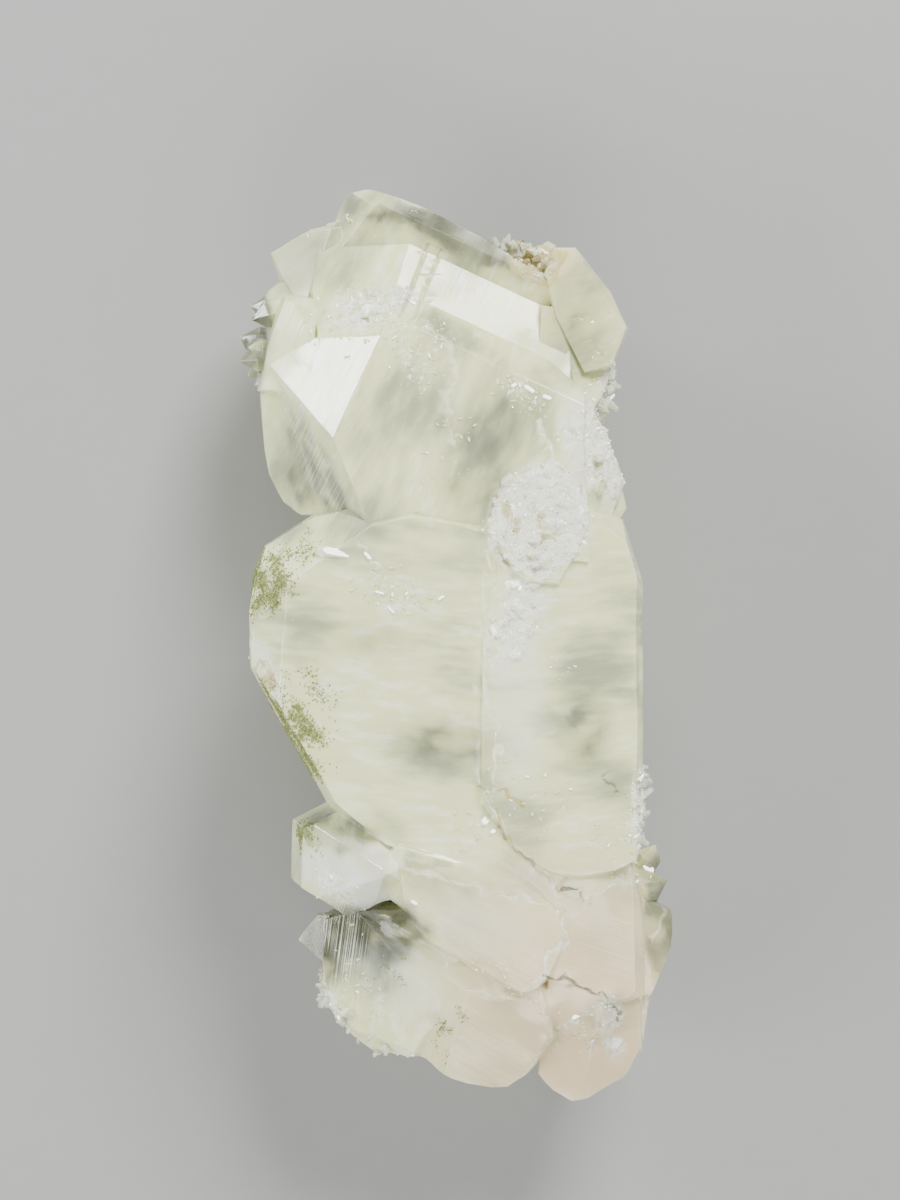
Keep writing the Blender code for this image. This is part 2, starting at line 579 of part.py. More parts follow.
def flat(things):
    """The crystals of a nested list, one after another."""
    if isinstance(things, (list, tuple)):
        return [each for thing in things for each in flat(thing)]
    return [things]


CRYSTALS = [
    root_mass, left_middle, front_crystal, left_crystal, shoulder_crystals, band_crystal, back_ridge, upper_left_crystal,
    right_crystals, right_end, right_middle, sugary_patch, small_clear_crystal, diagonal_crystal,
    lower_left_crystal, bottom_crystals, edge_plates, edge_points, rough_places,
]


def reached_from(start):
    """The corners joined to one corner by edges."""
    found, waiting = {start}, [start]
    while waiting:
        corner = waiting.pop()
        for edge in corner.link_edges:
            other = edge.other_vert(corner)
            if other not in found:
                found.add(other)
                waiting.append(other)
    return found


def drop_crumbs(work):
    """Keeps the one big body. Crystals that graze each other leave specks too small to see."""
    bodies, left = [], set(work.verts)
    while left:
        body = reached_from(next(iter(left)))
        bodies.append(body)
        left -= body
    biggest = max(bodies, key=len)
    spare = [corner for corner in work.verts if corner not in biggest]
    bmesh.ops.delete(work, geom=spare, context="VERTS")


def lay_on_its_back(whole):
    """Cuts the underside flat at Z = 0, where the specimen was broken off its rock."""
    work = bmesh.new()
    work.from_mesh(whole.data)
    drop_crumbs(work)
    everything = work.verts[:] + work.edges[:] + work.faces[:]
    cut = bmesh.ops.bisect_plane(work, geom=everything, dist=1e-7, plane_co=(0, 0, 0), plane_no=(0, 0, -1),
                                 clear_outer=True)
    rim = [edge for edge in cut["geom_cut"] if isinstance(edge, bmesh.types.BMEdge)]
    bmesh.ops.contextual_create(work, geom=rim)
    bmesh.ops.dissolve_limit(work, angle_limit=FLAT_WITHIN, verts=work.verts, edges=work.edges)
    work.to_mesh(whole.data)
    work.free()


def centre(whole):
    """Moves the middle of the specimen's outline over the origin."""
    for axis in (0, 1):
        reach = [corner.co[axis] for corner in whole.data.vertices]
        middle = 0.5 * (min(reach) + max(reach))
        for corner in whole.data.vertices:
            corner.co[axis] -= middle


def main():
    for old in list(bpy.data.objects):
        bpy.data.objects.remove(old)
    pieces = flat([build() for build in CRYSTALS])
    whole = joined("quartz_cluster", pieces)
    lay_on_its_back(whole)
    centre(whole)
    whole.data.materials.clear()
    whole.data.materials.append(quartz_material())


main()
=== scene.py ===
"""Dresses a hand specimen of quartz: milky and clear crystals grown together, lying on their flat back.

Millimetres where a name or a comment says so, metres in the scene. X runs across the specimen, Y along it
and Z up, out of the side that shows the best faces.
"""

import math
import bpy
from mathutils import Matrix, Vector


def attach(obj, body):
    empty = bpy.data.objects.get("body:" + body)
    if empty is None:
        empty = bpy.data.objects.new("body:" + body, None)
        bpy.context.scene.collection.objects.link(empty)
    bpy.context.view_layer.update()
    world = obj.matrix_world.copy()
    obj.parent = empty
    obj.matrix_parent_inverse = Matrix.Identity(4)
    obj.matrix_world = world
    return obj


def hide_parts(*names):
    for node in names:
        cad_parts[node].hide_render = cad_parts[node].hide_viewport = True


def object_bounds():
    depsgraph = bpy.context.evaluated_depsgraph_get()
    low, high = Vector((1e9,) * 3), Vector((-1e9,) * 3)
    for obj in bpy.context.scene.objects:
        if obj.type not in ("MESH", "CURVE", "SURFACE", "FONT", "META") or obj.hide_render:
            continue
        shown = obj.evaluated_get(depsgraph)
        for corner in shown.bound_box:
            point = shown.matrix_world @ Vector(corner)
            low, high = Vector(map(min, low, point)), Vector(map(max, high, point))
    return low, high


bl_info = {
    "name": "Quartz Specimen",
    "version": (1, 0, 0),
    "blender": (4, 5, 0),
    "location": "View3D > Sidebar > Quartz",
    "description": "Builds the looks of a cluster of milky quartz crystals around its solid",
    "category": "Add Mesh",
}

from functools import partial

import bmesh
import bpy
import numpy as np
from bpy.props import FloatProperty, FloatVectorProperty, IntProperty, PointerProperty
from mathutils import Vector
from mathutils.kdtree import KDTree

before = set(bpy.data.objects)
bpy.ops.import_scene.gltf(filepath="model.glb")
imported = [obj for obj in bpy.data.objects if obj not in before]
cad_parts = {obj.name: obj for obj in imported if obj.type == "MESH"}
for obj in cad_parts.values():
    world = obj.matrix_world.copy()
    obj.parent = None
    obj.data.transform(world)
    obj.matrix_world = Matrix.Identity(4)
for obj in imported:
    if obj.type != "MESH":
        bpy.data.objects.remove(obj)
CAD_BOX = [list(corner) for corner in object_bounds()]

SOLID = "quartz_cluster"
BODY = "root"
MM = 0.001

# The height of the best faces above the flat back, in millimetres
TOP = CAD_BOX[1][2] / MM
# The back is left flat up to this height, in millimetres
RESTING = 1.0

# In millimetres: corners of the solid that are nearer than this are one corner
SAME_CORNER = 0.002
# In degrees: faces that turn less are one flat face, and edges that turn more get a narrow bevelled face
FLAT_ANGLE = 0.35
WORN_ANGLE = 9.0
# In degrees: edges flatter than this are shaded smooth
SHARP_ANGLE = 13.0
# Beside the bevelled face's width: the shortest edge that gets one, and the shortest edge beside it
WORN_LENGTH = 6.0
CROWDED_LENGTH = 2.0

RIPPLE_WAVES = 14
REFINING_ROUNDS = 12
HEALING_ROUNDS = 60
# Beside the height of the best faces: where the painted side ends, how softly, and where fine mesh ends
SIDE_ENDS = 0.38
SIDE_SOFTNESS = 0.15
FINE_FROM = 0.45
# In millimetres: how far the rim of the painted side wanders up and down
SIDE_WANDER = 4.0
# In millimetres: a place deeper than this is a side wall and isn't filled, and how softly that begins
DEEPEST_FILLED = 7.0
FILLING_SOFTNESS = 3.0
# In millimetres to the right and down: where the warm tint begins, and how far on it is full
WARMTH_FROM, WARMTH_RISE = (-8.0, 20.0), (22.0, 24.0)
# How dark the painted shade in a groove is beside a dark crack
GROOVE_SHADE = 0.3
# How much of the wear and painted edge highlight is lost where crystals have healed together
WEAR_AND_HIGHLIGHT_HEALED = 0.85
# In millimetres: how far cracks stray from their course, and how much fine mesh lies beside one
CRACK_WANDER = 0.28
CRACK_MARGIN = 0.45
# In millimetres, on the map that says how fine the mesh is
MAP_SQUARE = 0.25
# The small bright faces' direction and outline, in parts of their length and width
LEDGE_NORMAL = (0.179, 0.383, 0.906)
LEDGE_OUTLINE = ((-0.5, -0.1), (-0.32, -0.5), (0.36, -0.46), (0.5, 0.16), (0.2, 0.5), (-0.38, 0.4))
# Its upper and lower rims: the height above the surface in millimetres, and the size beside the outline
LEDGE_RIMS = ((0.18, 0.86), (-0.9, 1.2))
# What a grain tree takes, and what it takes it to be when nothing is set
GRAIN_INPUTS = {"Width": 0.0005, "Density": 1e6, "Least": 0.5, "Slimness": 0.9, "Tip": 0.12,
                "Breadth": 1.0, "Tilt": 0.9, "Facing": 0.0}
# Quartz grains: the painted number that says where, the size's name, the step from the seed, the finish
# with its roughness, clearness and the shades where it is milky and where it is white, and the form
GRAINS = {
    "sugary_grains": ("sugary", "sugar", 0, ("quartz_grain", 0.12, 0.0), {
        "Least": 0.35, "Slimness": 0.5, "Tip": 0.35, "Tilt": 0.32, "Facing": 0.85}),
    "clear_points": ("bristling", "point", 2, ("quartz_clear", 0.05, 0.55), {
        "Least": 0.3, "Slimness": 1.1, "Tip": 0.22}),
    "bright_flakes": ("flecked", "flake", 3, ("quartz_flake", 0.06, 0.0, 0.45, 0.8), {
        "Least": 0.2, "Slimness": 0.2, "Tip": 0.4, "Breadth": 0.4, "Tilt": 0.25, "Facing": 1.0}),
}
# The smallest grain beside the largest, and a full turn
SMALLEST_GRAIN, FULL_TURN = 0.45, 6.28
# How dark the darkest green grains are beside the lightest
CHLORITE_SHADE = 0.6
# How far the facets of a broken place tilt, and how far they step beside their width
FACET_TILT = 0.42
FACET_STEP = 0.3

# Ripples: how far apart their hills are in millimetres, and the seed of each
HILLS, LOW_HILLS, GRIT = (11.0, 11), (4.0, 12), (1.2, 14)
RAGGED, PATCHY, SPOTTY, UNEVEN = (1.8, 21), (2.6, 22), (0.9, 23), (3.0, 24)
CLOUDS, SIDE_RIM = (12.0, 25), (6.0, 26)
STRAYING_X, STRAYING_Y, CRACK_THICKNESS = (2.2, 31), (2.2, 32), (3.0, 33)
FACET_SEED = 13

# How much quartz bends light, and the colour that light takes on its way through it
QUARTZ_IOR = 1.544
HAZE, HAZE_DENSITY = (0.84, 0.88, 0.70, 1.0), 10.0
# In millimetres: how far light spreads in the milky quartz, and its parts for red, green and blue
SPREAD, SPREAD_PARTS = 2.4, (1.0, 0.92, 0.68)

# Half the table's width, in metres
HALF_TABLE = 2.0
# The point that the lamps are turned to, and the height that the camera sees there, in millimetres
FACES = (-0.7, 6.5, 28.0)
SEEN_HEIGHT = 159.0
# Lamps: direction, distance and width in metres, the power's setting and the part of it, and colour
WHITE, SKY = (1.0, 1.0, 1.0), (0.92, 0.96, 1.0)
LAMPS = {
    "key_lamp": ((0.32, 0.70, 0.64), 0.9, 0.40, "key", 1.0, WHITE),
    "side_lamp": ((-0.866, 0.465, 0.183), 0.728, 0.19, "side", 1.0, (0.90, 0.97, 1.0)),
    "front_lamp": ((0.15, -0.75, 0.60), 1.1, 0.80, "key", 0.6, WHITE),
    "left_lamp": ((-0.80, -0.35, 0.50), 1.0, 0.60, "key", 0.45, WHITE),
}

# Crystals: a point inside each, in millimetres, and the bearing of its long axis in degrees from +X
CRYSTALS = {
    "front": ((-2, 27, 20), 155),
    "front_left": ((-20, 28, 18), 150),
    "shoulder": ((-18, 42, 22), 155),
    "band": ((-2, 44, 20), 155),
    "ridge": ((-4, 56, 20), 155),
    "upper_left": ((-21, 51, 20), 130),
    "upper_right": ((17, 46, 20), -57),
    "right_end": ((18, 26, 20), 120),
    "left_middle": ((-12, -2, 20), 84),
    "right_middle": ((13, -6, 20), 96),
    "small_clear": ((-14, -27.5, 30), -20),
    "diagonal": ((3, -36, 26), 62),
    "lower_left": ((-10, -43, 20), 172),
    "bottom": ((4, -51, 16), 60),
    "bottom_right": ((18, -51, 16), 100),
    "lower_right": ((18, -36, 20), 70),
}

# Patches on the upper side: middle, half length, half width in millimetres, bearing, soft edge, strength
SUGARY = [
    ((10.9, 16.9), 7.6, 6.3, 70, 0.25, 1),
    ((8.2, 4.6), 7.5, 3, 66, 0.8, 0.75),
    ((18.4, 25.6), 8, 3.6, -62, 0.4, 0.55),
    ((-11, 45.2), 6.5, 2.3, 12, 0.9, 0.6),
    ((24.4, -21), 5.5, 1.3, 90, 0.6, 0.9),
    ((20.8, -50), 5, 1.6, 100, 0.8, 0.6),
    ((-17.8, -45), 9.5, 0.9, -62, 0.7, 0.7),
    ((-8.8, -53.4), 5, 0.8, -22, 0.7, 0.6),
    ((10.4, 51), 3, 2.2, -20, 0.5, 1),
    ((-24.6, -2.6), 5, 1, -62, 0.7, 0.5),
    ((20.6, 35.4), 3.4, 1.6, 60, 0.6, 0.8),
]
CLEAR = [
    ((-15.4, -24.2), 5.4, 2.6, -8, 0.5, 0.60),
    ((-15, -28.6), 6.6, 6, 0, 0.25, 0.25),
    ((-13, -37.6), 8, 4, -12, 0.8, 1),
    ((-17.4, -40), 3.2, 5, 0, 0.8, 0.9),
    ((-7.6, -35.8), 5, 2.6, -30, 0.8, 0.8),
    ((-12.4, -42.6), 6, 3.6, -30, 0.9, 0.35),
    ((-18.5, 24.5), 9, 2.2, -63, 0.6, 0.5),
    ((-20, 22.4), 5, 3, 60, 0.9, 0.45),
    ((-27, 41.5), 8, 2.6, 88, 0.6, 0.80),
    ((-1, -12), 8.5, 3.2, -6, 1, 0.40),
    ((-10.8, 1.5), 5, 2, -4, 1, 0.30),
    ((17, -10), 3.4, 4.6, 0, 1, 0.42),
    ((4, 26), 9, 4.6, 66, 1, 0.45),
    ((9.4, 31.4), 6, 2.6, 60, 1, 0.40),
    ((2, 54), 12, 2.4, -25, 0.8, 0.75),
    ((-10, 58.5), 5, 2.4, -12, 0.8, 0.6),
    ((-22, 51.6), 4.8, 4.6, 60, 0.7, 0.12),
    ((17.5, 44), 5, 7, 20, 1, 0.32),
    ((28, -36), 3, 8, 0, 0.5, 0.6),
    ((27.6, -30), 3, 3, 0, 0.5, 0.6),
    ((19.5, -47.5), 3.4, 2, 30, 0.8, 0.4),
]
# Warm tints away from the lower right
BLUSHING = [
    ((16.4, 46.4), 6, 9, 30, 1, 0.40),
]
# Whiter places; the first patch is a painted highlight on the glossy lower face of the small clear
# crystal
PALE_AND_HIGHLIT = [
    ((-14.8, -30.4), 6.6, 3.4, -28, 0.35, 0.85),
    ((-9.4, -27.4), 2, 2.6, 20, 0.5, 0.6),
    ((-13.6, -26.4), 4.6, 1.8, -28, 0.8, 0.35),
    ((-7.4, -44), 8, 3.6, -34, 1, 0.45),
    ((8, -6), 3.4, 12, 0, 1, 0.35),
    ((19.4, 26.4), 7, 4.6, -62, 0.8, 0.5),
    ((4, -36.6), 7, 3.4, -24, 1, 0.35),
]
# Fine white threads across a clear place
THREADED = [
    ((-15.4, -38.6), 5.2, 3.4, 80, 0.8, 1),
    ((-18.4, -43), 3.6, 1.6, 80, 0.8, 0.6),
    ((-18.5, 24.5), 8, 1.8, -63, 0.6, 0.5),
]
# Painted shade: clear places darkened for the dark seen through them
PAINTED_SHADE_CLEAR = [
    ((-13.4, -36.2), 4.8, 2.4, -10, 0.8, 0.50),
    ((-18.6, -39.4), 1.6, 2.8, 10, 0.8, 0.50),
    ((-7.4, -36), 3.4, 1.6, -52, 0.8, 0.32),
    ((-11.8, -42.2), 2.8, 1.4, 0, 0.8, 0.24),
    ((26, -29), 2.4, 3, 0, 0.6, 0.28),
    ((-22, 51.6), 4.8, 4.6, 60, 0.7, 0.40),
    ((-15, -24.6), 3.6, 1.6, -10, 0.9, 0.05),
]
GREEN = [
    ((-24.6, 9), 4.4, 3.4, 40, 1.2, 1),
    ((-20.6, 13.2), 2.6, 1.8, 60, 1.2, 0.85),
    ((-21, -10.6), 6.4, 3, -62, 1.2, 1),
    ((-19.4, -25), 2.6, 1.4, -60, 1, 0.75),
    ((-9.9, -42.8), 5.2, 3, 10, 1.2, 0.26),
    ((-0.7, -50.4), 5.6, 2.6, 70, 1.2, 0.27),
    ((-19, -7), 8, 4, -60, 1.2, 0.30),
]
# Places where the quartz has cracked inside, painted with bright white specks that partly stand in for
# glints as painted highlights
FLECKED = [
    ((-7.4, 7.6), 6.4, 3, -8, 0.9, 0.8),
    ((-13.4, 44.4), 6, 4, 20, 0.9, 0.9),
    ((-4.6, 38.4), 5.4, 3.4, 66, 0.9, 0.8),
    ((-2, 26), 4, 9, -20, 1, 0.35),
    ((8.6, 33.2), 4.6, 2.4, -40, 0.9, 0.8),
    ((13, -1.6), 3.4, 3, 0, 1, 0.35),
    ((10, -19), 7.6, 4, -30, 1, 0.5),
    ((2, -23.6), 3, 3.6, 0, 1, 0.6),
    ((-15.8, -31.2), 3.4, 2.2, -40, 0.6, 1),
    ((-13, -46), 9, 3.4, -40, 0.9, 0.45),
    ((-14, -38), 6, 4.6, 0, 0.9, 0.3),
    ((6, -42.6), 5, 2, -24, 0.9, 0.5),
    ((16.6, -50.4), 4.6, 4, 0, 0.9, 0.6),
    ((-22, 52.6), 5, 4, 60, 0.9, 0.25),
    ((-14.4, 58.6), 3.6, 2, 60, 0.8, 0.6),
    ((-10.6, 42.6), 3, 6, 60, 0.8, 0.9),
    ((19.6, 31), 3.4, 8, 14, 0.9, 0.6),
    ((22, -27), 3, 5, 20, 0.9, 0.6),
]
# Frosted places that shine less
DULL = [
    ((-22.6, 53), 7, 5, 60, 0.5, 2.2),
    ((-24.6, 40.6), 4, 6, 0, 0.5, 0.7),
    ((4, 52.6), 12, 3, -25, 0.6, 0.5),
    ((12.7, 38.8), 3, 2.4, 0, 0.5, 1),
    ((3.6, 45.5), 13, 4.2, -35, 0.5, 0.28),
]
# Small bright faces that stand a little proud: middle, length, width, bearing
LEDGES = [
    ((-15.4, 12.7), 4.6, 1.2, -8),
    ((-11.4, 12.2), 1.6, 0.5, -50),
    ((9.6, 33.9), 1.9, 0.6, -35),
    ((11.9, 32.8), 1.5, 0.6, -20),
    ((7.6, 34.4), 1, 0.5, 30),
    ((3.9, -22.2), 1.4, 1, 60),
    ((4.9, -23.6), 0.9, 0.6, 20),
    ((-13.9, 38.6), 1.3, 0.5, 40),
    ((-5.6, 45.6), 1.2, 0.5, -30),
    ((16, -48.4), 1.8, 0.6, 30),
    ((18.6, -51.6), 1.7, 0.5, 50),
    ((-5.4, -33), 1.2, 0.5, -30),
    ((8.4, 8.2), 1.4, 0.6, 70),
    ((-8.4, 5.2), 1.5, 0.35, -50),
    ((-9.8, 7.4), 1.8, 0.35, -12),
    ((-1.8, 6.8), 1.4, 0.4, 40),
    ((25.8, -29.4), 2, 1.4, -70),
]
# Hollows between crystals that have grown shut: patch, height at its middle, and rise across and along
FILLED = [
    (((12, -30), 9, 5.4, -6, 0.5, 1), 36.5, -0.04, 0.33),
    (((12.6, -44.6), 4, 4, 0, 0.8, 1), 32.6, -0.10, 0.50),
    (((17, -47.6), 5, 3, -14, 0.8, 1), 31, 0, 0.50),
    (((6, -24.4), 3.4, 2.8, -45, 0.6, 1), 37.4, 0.15, 0.12),
    (((-0.6, -41.4), 10, 3.6, -37, 0.7, 1), 32.7, 0.36, 0.48),
]
# The same for a crystal face that has to end in a clean edge
LEVELLED = [
    (((-17.4, 38.9), 4, 1.8, 2.5, 0.15, 1), 32.92, 0.733, -0.35),
]
# Where small clear points grow along broken edges
BRISTLING = [
    ((-18.9, -43.4), 8, 1.1, -64, 0.5, 0.8),
    ((-12.3, -51.3), 7, 1, -34, 0.5, 0.8),
    ((24.8, -21.4), 6, 1.4, 90, 0.5, 0.8),
    ((20.6, 34.6), 4.6, 1.8, 64, 0.5, 0.8),
    ((8.6, 53), 4.6, 1.6, -28, 0.5, 0.9),
    ((-24.8, -3), 5, 1.2, -62, 0.5, 0.5),
]
RUST = [
    ((-25, -3.5), 2.6, 1.3, -60, 1, 1),
    ((11, 51.2), 4.2, 2.8, -30, 0.7, 1.8),
    ((9.4, 16), 6, 5, 80, 1, 0.30),
    ((19.8, 22.4), 3, 2, -60, 1, 0.4),
    ((15.2, -31.4), 3.4, 1.4, -30, 1, 0.6),
]
# Where neighbouring crystals have healed together and no clean step is left
HEALED = [
    ((2.6, -28.4), 8.4, 3.6, -14, 0.8, 1),
    ((12.4, -30.8), 8, 4, -6, 0.8, 1),
    ((4.4, -26.4), 6, 4.6, -45, 0.8, 1),
    ((1.6, -43.6), 12, 3.6, -24, 0.8, 1),
    ((13.6, -39), 3.6, 7, 8, 0.8, 0.9),
    ((17.4, -46), 5.5, 3, -14, 0.8, 0.9),
    ((11.2, -50.4), 2.6, 5, -6, 0.8, 0.9),
    ((4, -4), 1.8, 20, 0, 0.8, 0.5),
    ((-10, 43.8), 5, 2, 10, 0.8, 0.7),
    ((13.8, 20), 4, 3.4, 0, 0.8, 0.6),
    ((-2.2, -51), 2.4, 4, -30, 0.8, 0.8),
    ((-1.6, -40.4), 9, 3.4, -37, 0.8, 1),
]
# Cracks and seams seen from above: what fills them, strength, half width in millimetres, and their course
CRACKS = [
    ("white", 0.55, 0.35, [(4.2, 14.7), (4.6, 9.7), (5.6, 8.9), (4.1, 4.1), (3.5, -1.3), (3.8, -6.5),
                           (5.3, -9), (5.6, -12.8), (4.9, -14.9), (4.6, -20), (4.2, -22.5)]),
    ("white", 0.6, 0.3, [(10.2, -27.8), (12.5, -30.2), (14.4, -31.8), (16.9, -32.4), (20.5, -30.6),
                         (23.9, -28.2)]),
    ("white", 0.5, 0.35, [(-7.9, -28.7), (-7.1, -28.1), (-0.1, -30.2), (5.4, -31.9), (9.6, -32.7),
                          (13.9, -34)]),
    ("white", 0.8, 0.4, [(13.9, -34), (14.7, -37.7), (11.7, -40.9), (11.7, -42.6), (10.2, -43.7)]),
    ("white", 0.4, 0.35, [(-10, -35.1), (-4.8, -38.3), (-1.4, -40.4), (-1.1, -42.6), (1.5, -44.8),
                          (5.4, -45.8), (9.6, -44.8)]),
    ("white", 0.6, 0.3, [(9.6, -43.7), (11.7, -47.9), (13.1, -51.1), (11.7, -52.8), (9.6, -56)]),
    ("white", 0.8, 0.35, [(21.9, -49), (21.4, -50.6), (19.8, -51.1), (21.8, -52), (19, -53.2)]),
    ("dark", 0.9, 0.25, [(11.7, -42.4), (14.9, -43.7), (19.3, -45.3), (20.6, -46.9), (21.9, -49)]),
    ("white", 0.5, 0.3, [(28.2, -35.1), (25.8, -40.4), (25.5, -42.6), (26.1, -45.8), (24.9, -49),
                         (25.1, -51.8)]),
    ("white", 0.7, 0.35, [(24.5, -15.7), (23.5, -20), (24.3, -22.8), (24.1, -25.4)]),
    ("white", 0.8, 0.3, [(11.2, 30.2), (11.7, 28.1), (12.9, 24.3)]),
    ("white", 0.5, 0.25, [(-12.8, 14.2), (-10.1, 10.9)]),
    ("white", 0.5, 0.25, [(-11, -5.4), (-8.1, -6.3)]),
    ("white", 0.4, 0.4, [(-4.7, 43.5), (-1.4, 40.2), (0.6, 36.7), (-0.4, 34.1), (-0.9, 31),
                         (-0.5, 27.4)]),
    ("rust", 1, 0.34, [(3.1, -17.9), (4.9, -18.1), (6.7, -18.7), (8.6, -20)]),
    ("rust", 0.9, 0.3, [(5.1, -21), (6.4, -23.8), (7.5, -25.9), (10.2, -27.8)]),
    ("rust", 0.8, 0.3, [(14.3, 44), (18.4, 43.2), (20.1, 43.9)]),
    ("rust", 0.8, 0.3, [(17.3, 40.7), (20.4, 37.7)]),
    ("rust", 0.45, 0.3, [(5.8, 20.7), (4, 18.6), (3.8, 16.7), (4.9, 13.8), (7, 11.4), (9.1, 9.6)]),
    ("rust", 0.45, 0.3, [(9.4, 13.2), (12.9, 14.7), (15.4, 16.4), (18.1, 17.4)]),
    ("dark", 0.7, 0.2, [(18.5, -16.3), (20.9, -17.9), (22.5, -19.7), (23.5, -20.8)]),
    ("dark", 0.9, 0.35, [(14.2, -31), (14.8, -31.6), (15.6, -31.4)]),
    ("dark", 0.8, 0.3, [(16.4, -32), (17, -32.5)]),
    ("dark", 0.8, 0.26, [(-11.7, 43.7), (-11.5, 43.1)]),
    # Grooves are cut into the surface and darkened with painted shade
    ("groove", 1, 0.33, [(-3.6, 53.5), (-7.25, 43.6)]),
    ("groove", 0.9, 0.29, [(-1.9, 52.8), (-5.45, 43.4)]),
]


class QuartzSizes(bpy.types.PropertyGroup):
    """How finely the quartz is made."""

    edge: FloatProperty(
        name="Edge", description="Width of the worn edge between two crystal faces",
        default=0.18 * MM, min=0.0, unit="LENGTH")
    spacing: FloatProperty(
        name="Spacing", description="Longest edge of the finished mesh",
        default=1.9 * MM, min=0.5 * MM, unit="LENGTH")
    fine: FloatProperty(
        name="Fine spacing", description="Longest edge where the quartz is cracked or sugary",
        default=0.40 * MM, min=0.2 * MM, unit="LENGTH")
    facet: FloatProperty(
        name="Facet", description="Width of a broken facet on the sugary places",
        default=1.5 * MM, min=0.5 * MM, unit="LENGTH")
    groove: FloatProperty(
        name="Groove", description="Depth of the cracks", default=0.16 * MM, min=0.0, unit="LENGTH")
    swell: FloatProperty(
        name="Swell", description="Height of the low hills on the crystal faces",
        default=0.07 * MM, min=0.0, unit="LENGTH")
    relief: FloatProperty(
        name="Relief", description="Depth of the broken, sugary places",
        default=0.50 * MM, min=0.0, unit="LENGTH")
    sugar: FloatProperty(
        name="Sugar grain", description="Width of a grain on the sugary places",
        default=0.42 * MM, min=0.1 * MM, unit="LENGTH")
    sugar_density: FloatProperty(
        name="Sugar density", description="Grains on a square metre of a sugary place",
        default=2.0e6, min=0.0)
    point: FloatProperty(
        name="Clear point", description="Width of a small clear point on a broken edge",
        default=1.25 * MM, min=0.1 * MM, unit="LENGTH")
    point_density: FloatProperty(
        name="Clear point density", description="Points on a square metre of a broken edge",
        default=4.5e5, min=0.0)
    flake: FloatProperty(
        name="Flake", description="Width of a bright flake in the flecked places",
        default=0.95 * MM, min=0.1 * MM, unit="LENGTH")
    flake_density: FloatProperty(
        name="Flake density", description="Flakes on a square metre of a flecked place",
        default=1.0e6, min=0.0)
    chlorite: FloatProperty(
        name="Chlorite grain", description="Width of a green grain",
        default=0.24 * MM, min=0.05 * MM, unit="LENGTH")
    chlorite_density: FloatProperty(
        name="Chlorite density", description="Grains on a square metre where the green is thick",
        default=2.4e7, min=0.0)
    seed: IntProperty(name="Seed", description="Picks another scatter of grains", default=4)


class QuartzColours(bpy.types.PropertyGroup):
    """The colours of the quartz and of what has grown on it."""

    milk: FloatVectorProperty(
        name="Milk", description="The cloudy body of the crystals",
        default=(0.79, 0.81, 0.44), min=0.0, max=1.0, subtype="COLOR")
    # Also the white of painted highlights: on bevelled edges, glint-like specks and the small clear
    # crystal's lower face
    veil_and_highlight: FloatVectorProperty(
        name="Veil", description="The whitest clouds and healed cracks",
        default=(0.96, 0.98, 0.85), min=0.0, max=1.0, subtype="COLOR")
    # Clear places are darkened towards this grey green as painted shade, for the dark seen through them
    depth: FloatVectorProperty(
        name="Depth", description="The grey green where the quartz is clearer",
        default=(0.38, 0.40, 0.25), min=0.0, max=1.0, subtype="COLOR")
    blush: FloatVectorProperty(
        name="Blush", description="The warm tint of the lower right",
        default=(0.85, 0.67, 0.42), min=0.0, max=1.0, subtype="COLOR")
    chlorite: FloatVectorProperty(
        name="Chlorite", description="The green mineral",
        default=(0.27, 0.31, 0.07), min=0.0, max=1.0, subtype="COLOR")
    rust: FloatVectorProperty(
        name="Rust", description="Iron stain in cracks",
        default=(0.55, 0.45, 0.16), min=0.0, max=1.0, subtype="COLOR")
    # Also the colour of painted shade in grooves and in clear places
    dirt_and_shade: FloatVectorProperty(
        name="Dirt", description="Dark grains caught in cracks",
        default=(0.10, 0.09, 0.05), min=0.0, max=1.0, subtype="COLOR")


class QuartzStage(bpy.types.PropertyGroup):
    """The table, the lights and the camera."""

    floor: FloatVectorProperty(
        name="Floor", description="Colour of the table",
        default=(0.31, 0.31, 0.30), min=0.0, max=1.0, subtype="COLOR")
    key: FloatProperty(
        name="Key", description="Power of the large lamp behind the specimen",
        default=15.0, min=0.0, unit="POWER")
    side: FloatProperty(
        name="Side", description="Power of the low lamp at the left", default=4.0, min=0.0, unit="POWER")
    fill: FloatProperty(
        name="Fill", description="Strength of the light from all round", default=0.36, min=0.0)
    distance: FloatProperty(
        name="Distance", description="From the camera to the faces", default=0.5, min=0.1, unit="LENGTH")


def add_node(tree, kind, settings=None, sockets=None):
    """Adds one node. Its settings are set first, and its sockets get values or links."""
    node = tree.nodes.new(kind)
    for name, setting in (settings or {}).items():
        setattr(node, name, setting)
    for name, given in (sockets or {}).items():
        if isinstance(given, bpy.types.NodeSocket):
            tree.links.new(given, node.inputs[name])
        else:
            node.inputs[name].default_value = given
    return node


class Value:
    """A number that varies over a surface. Sums of values add Math nodes to their material."""

    def __init__(self, finish, socket):
        self.finish = finish
        self.socket = socket

    def math(self, operation, *others):
        sockets = dict(enumerate((self, *others)))
        node = self.finish.node("ShaderNodeMath", {"operation": operation}, sockets)
        return Value(self.finish, node.outputs[0])

    def __add__(self, other):
        return self.math("ADD", other)

    def __sub__(self, other):
        return self.math("SUBTRACT", other)

    def __rsub__(self, other):
        return self.math("MULTIPLY_ADD", -1.0, other)

    def __mul__(self, other):
        return self.math("MULTIPLY", other)

    def __abs__(self):
        return self.math("ABSOLUTE")

    __radd__ = __add__
    __rmul__ = __mul__

    def clamped(self):
        return self.math("MAXIMUM", 0.0).math("MINIMUM", 1.0)

    def between(self, low, high):
        """0 below low, 1 above high and a soft step in between."""
        node = self.finish.node("ShaderNodeMapRange", {"interpolation_type": "SMOOTHSTEP"},
                                {"Value": self, "From Min": low, "From Max": high})
        return Value(self.finish, node.outputs["Result"])


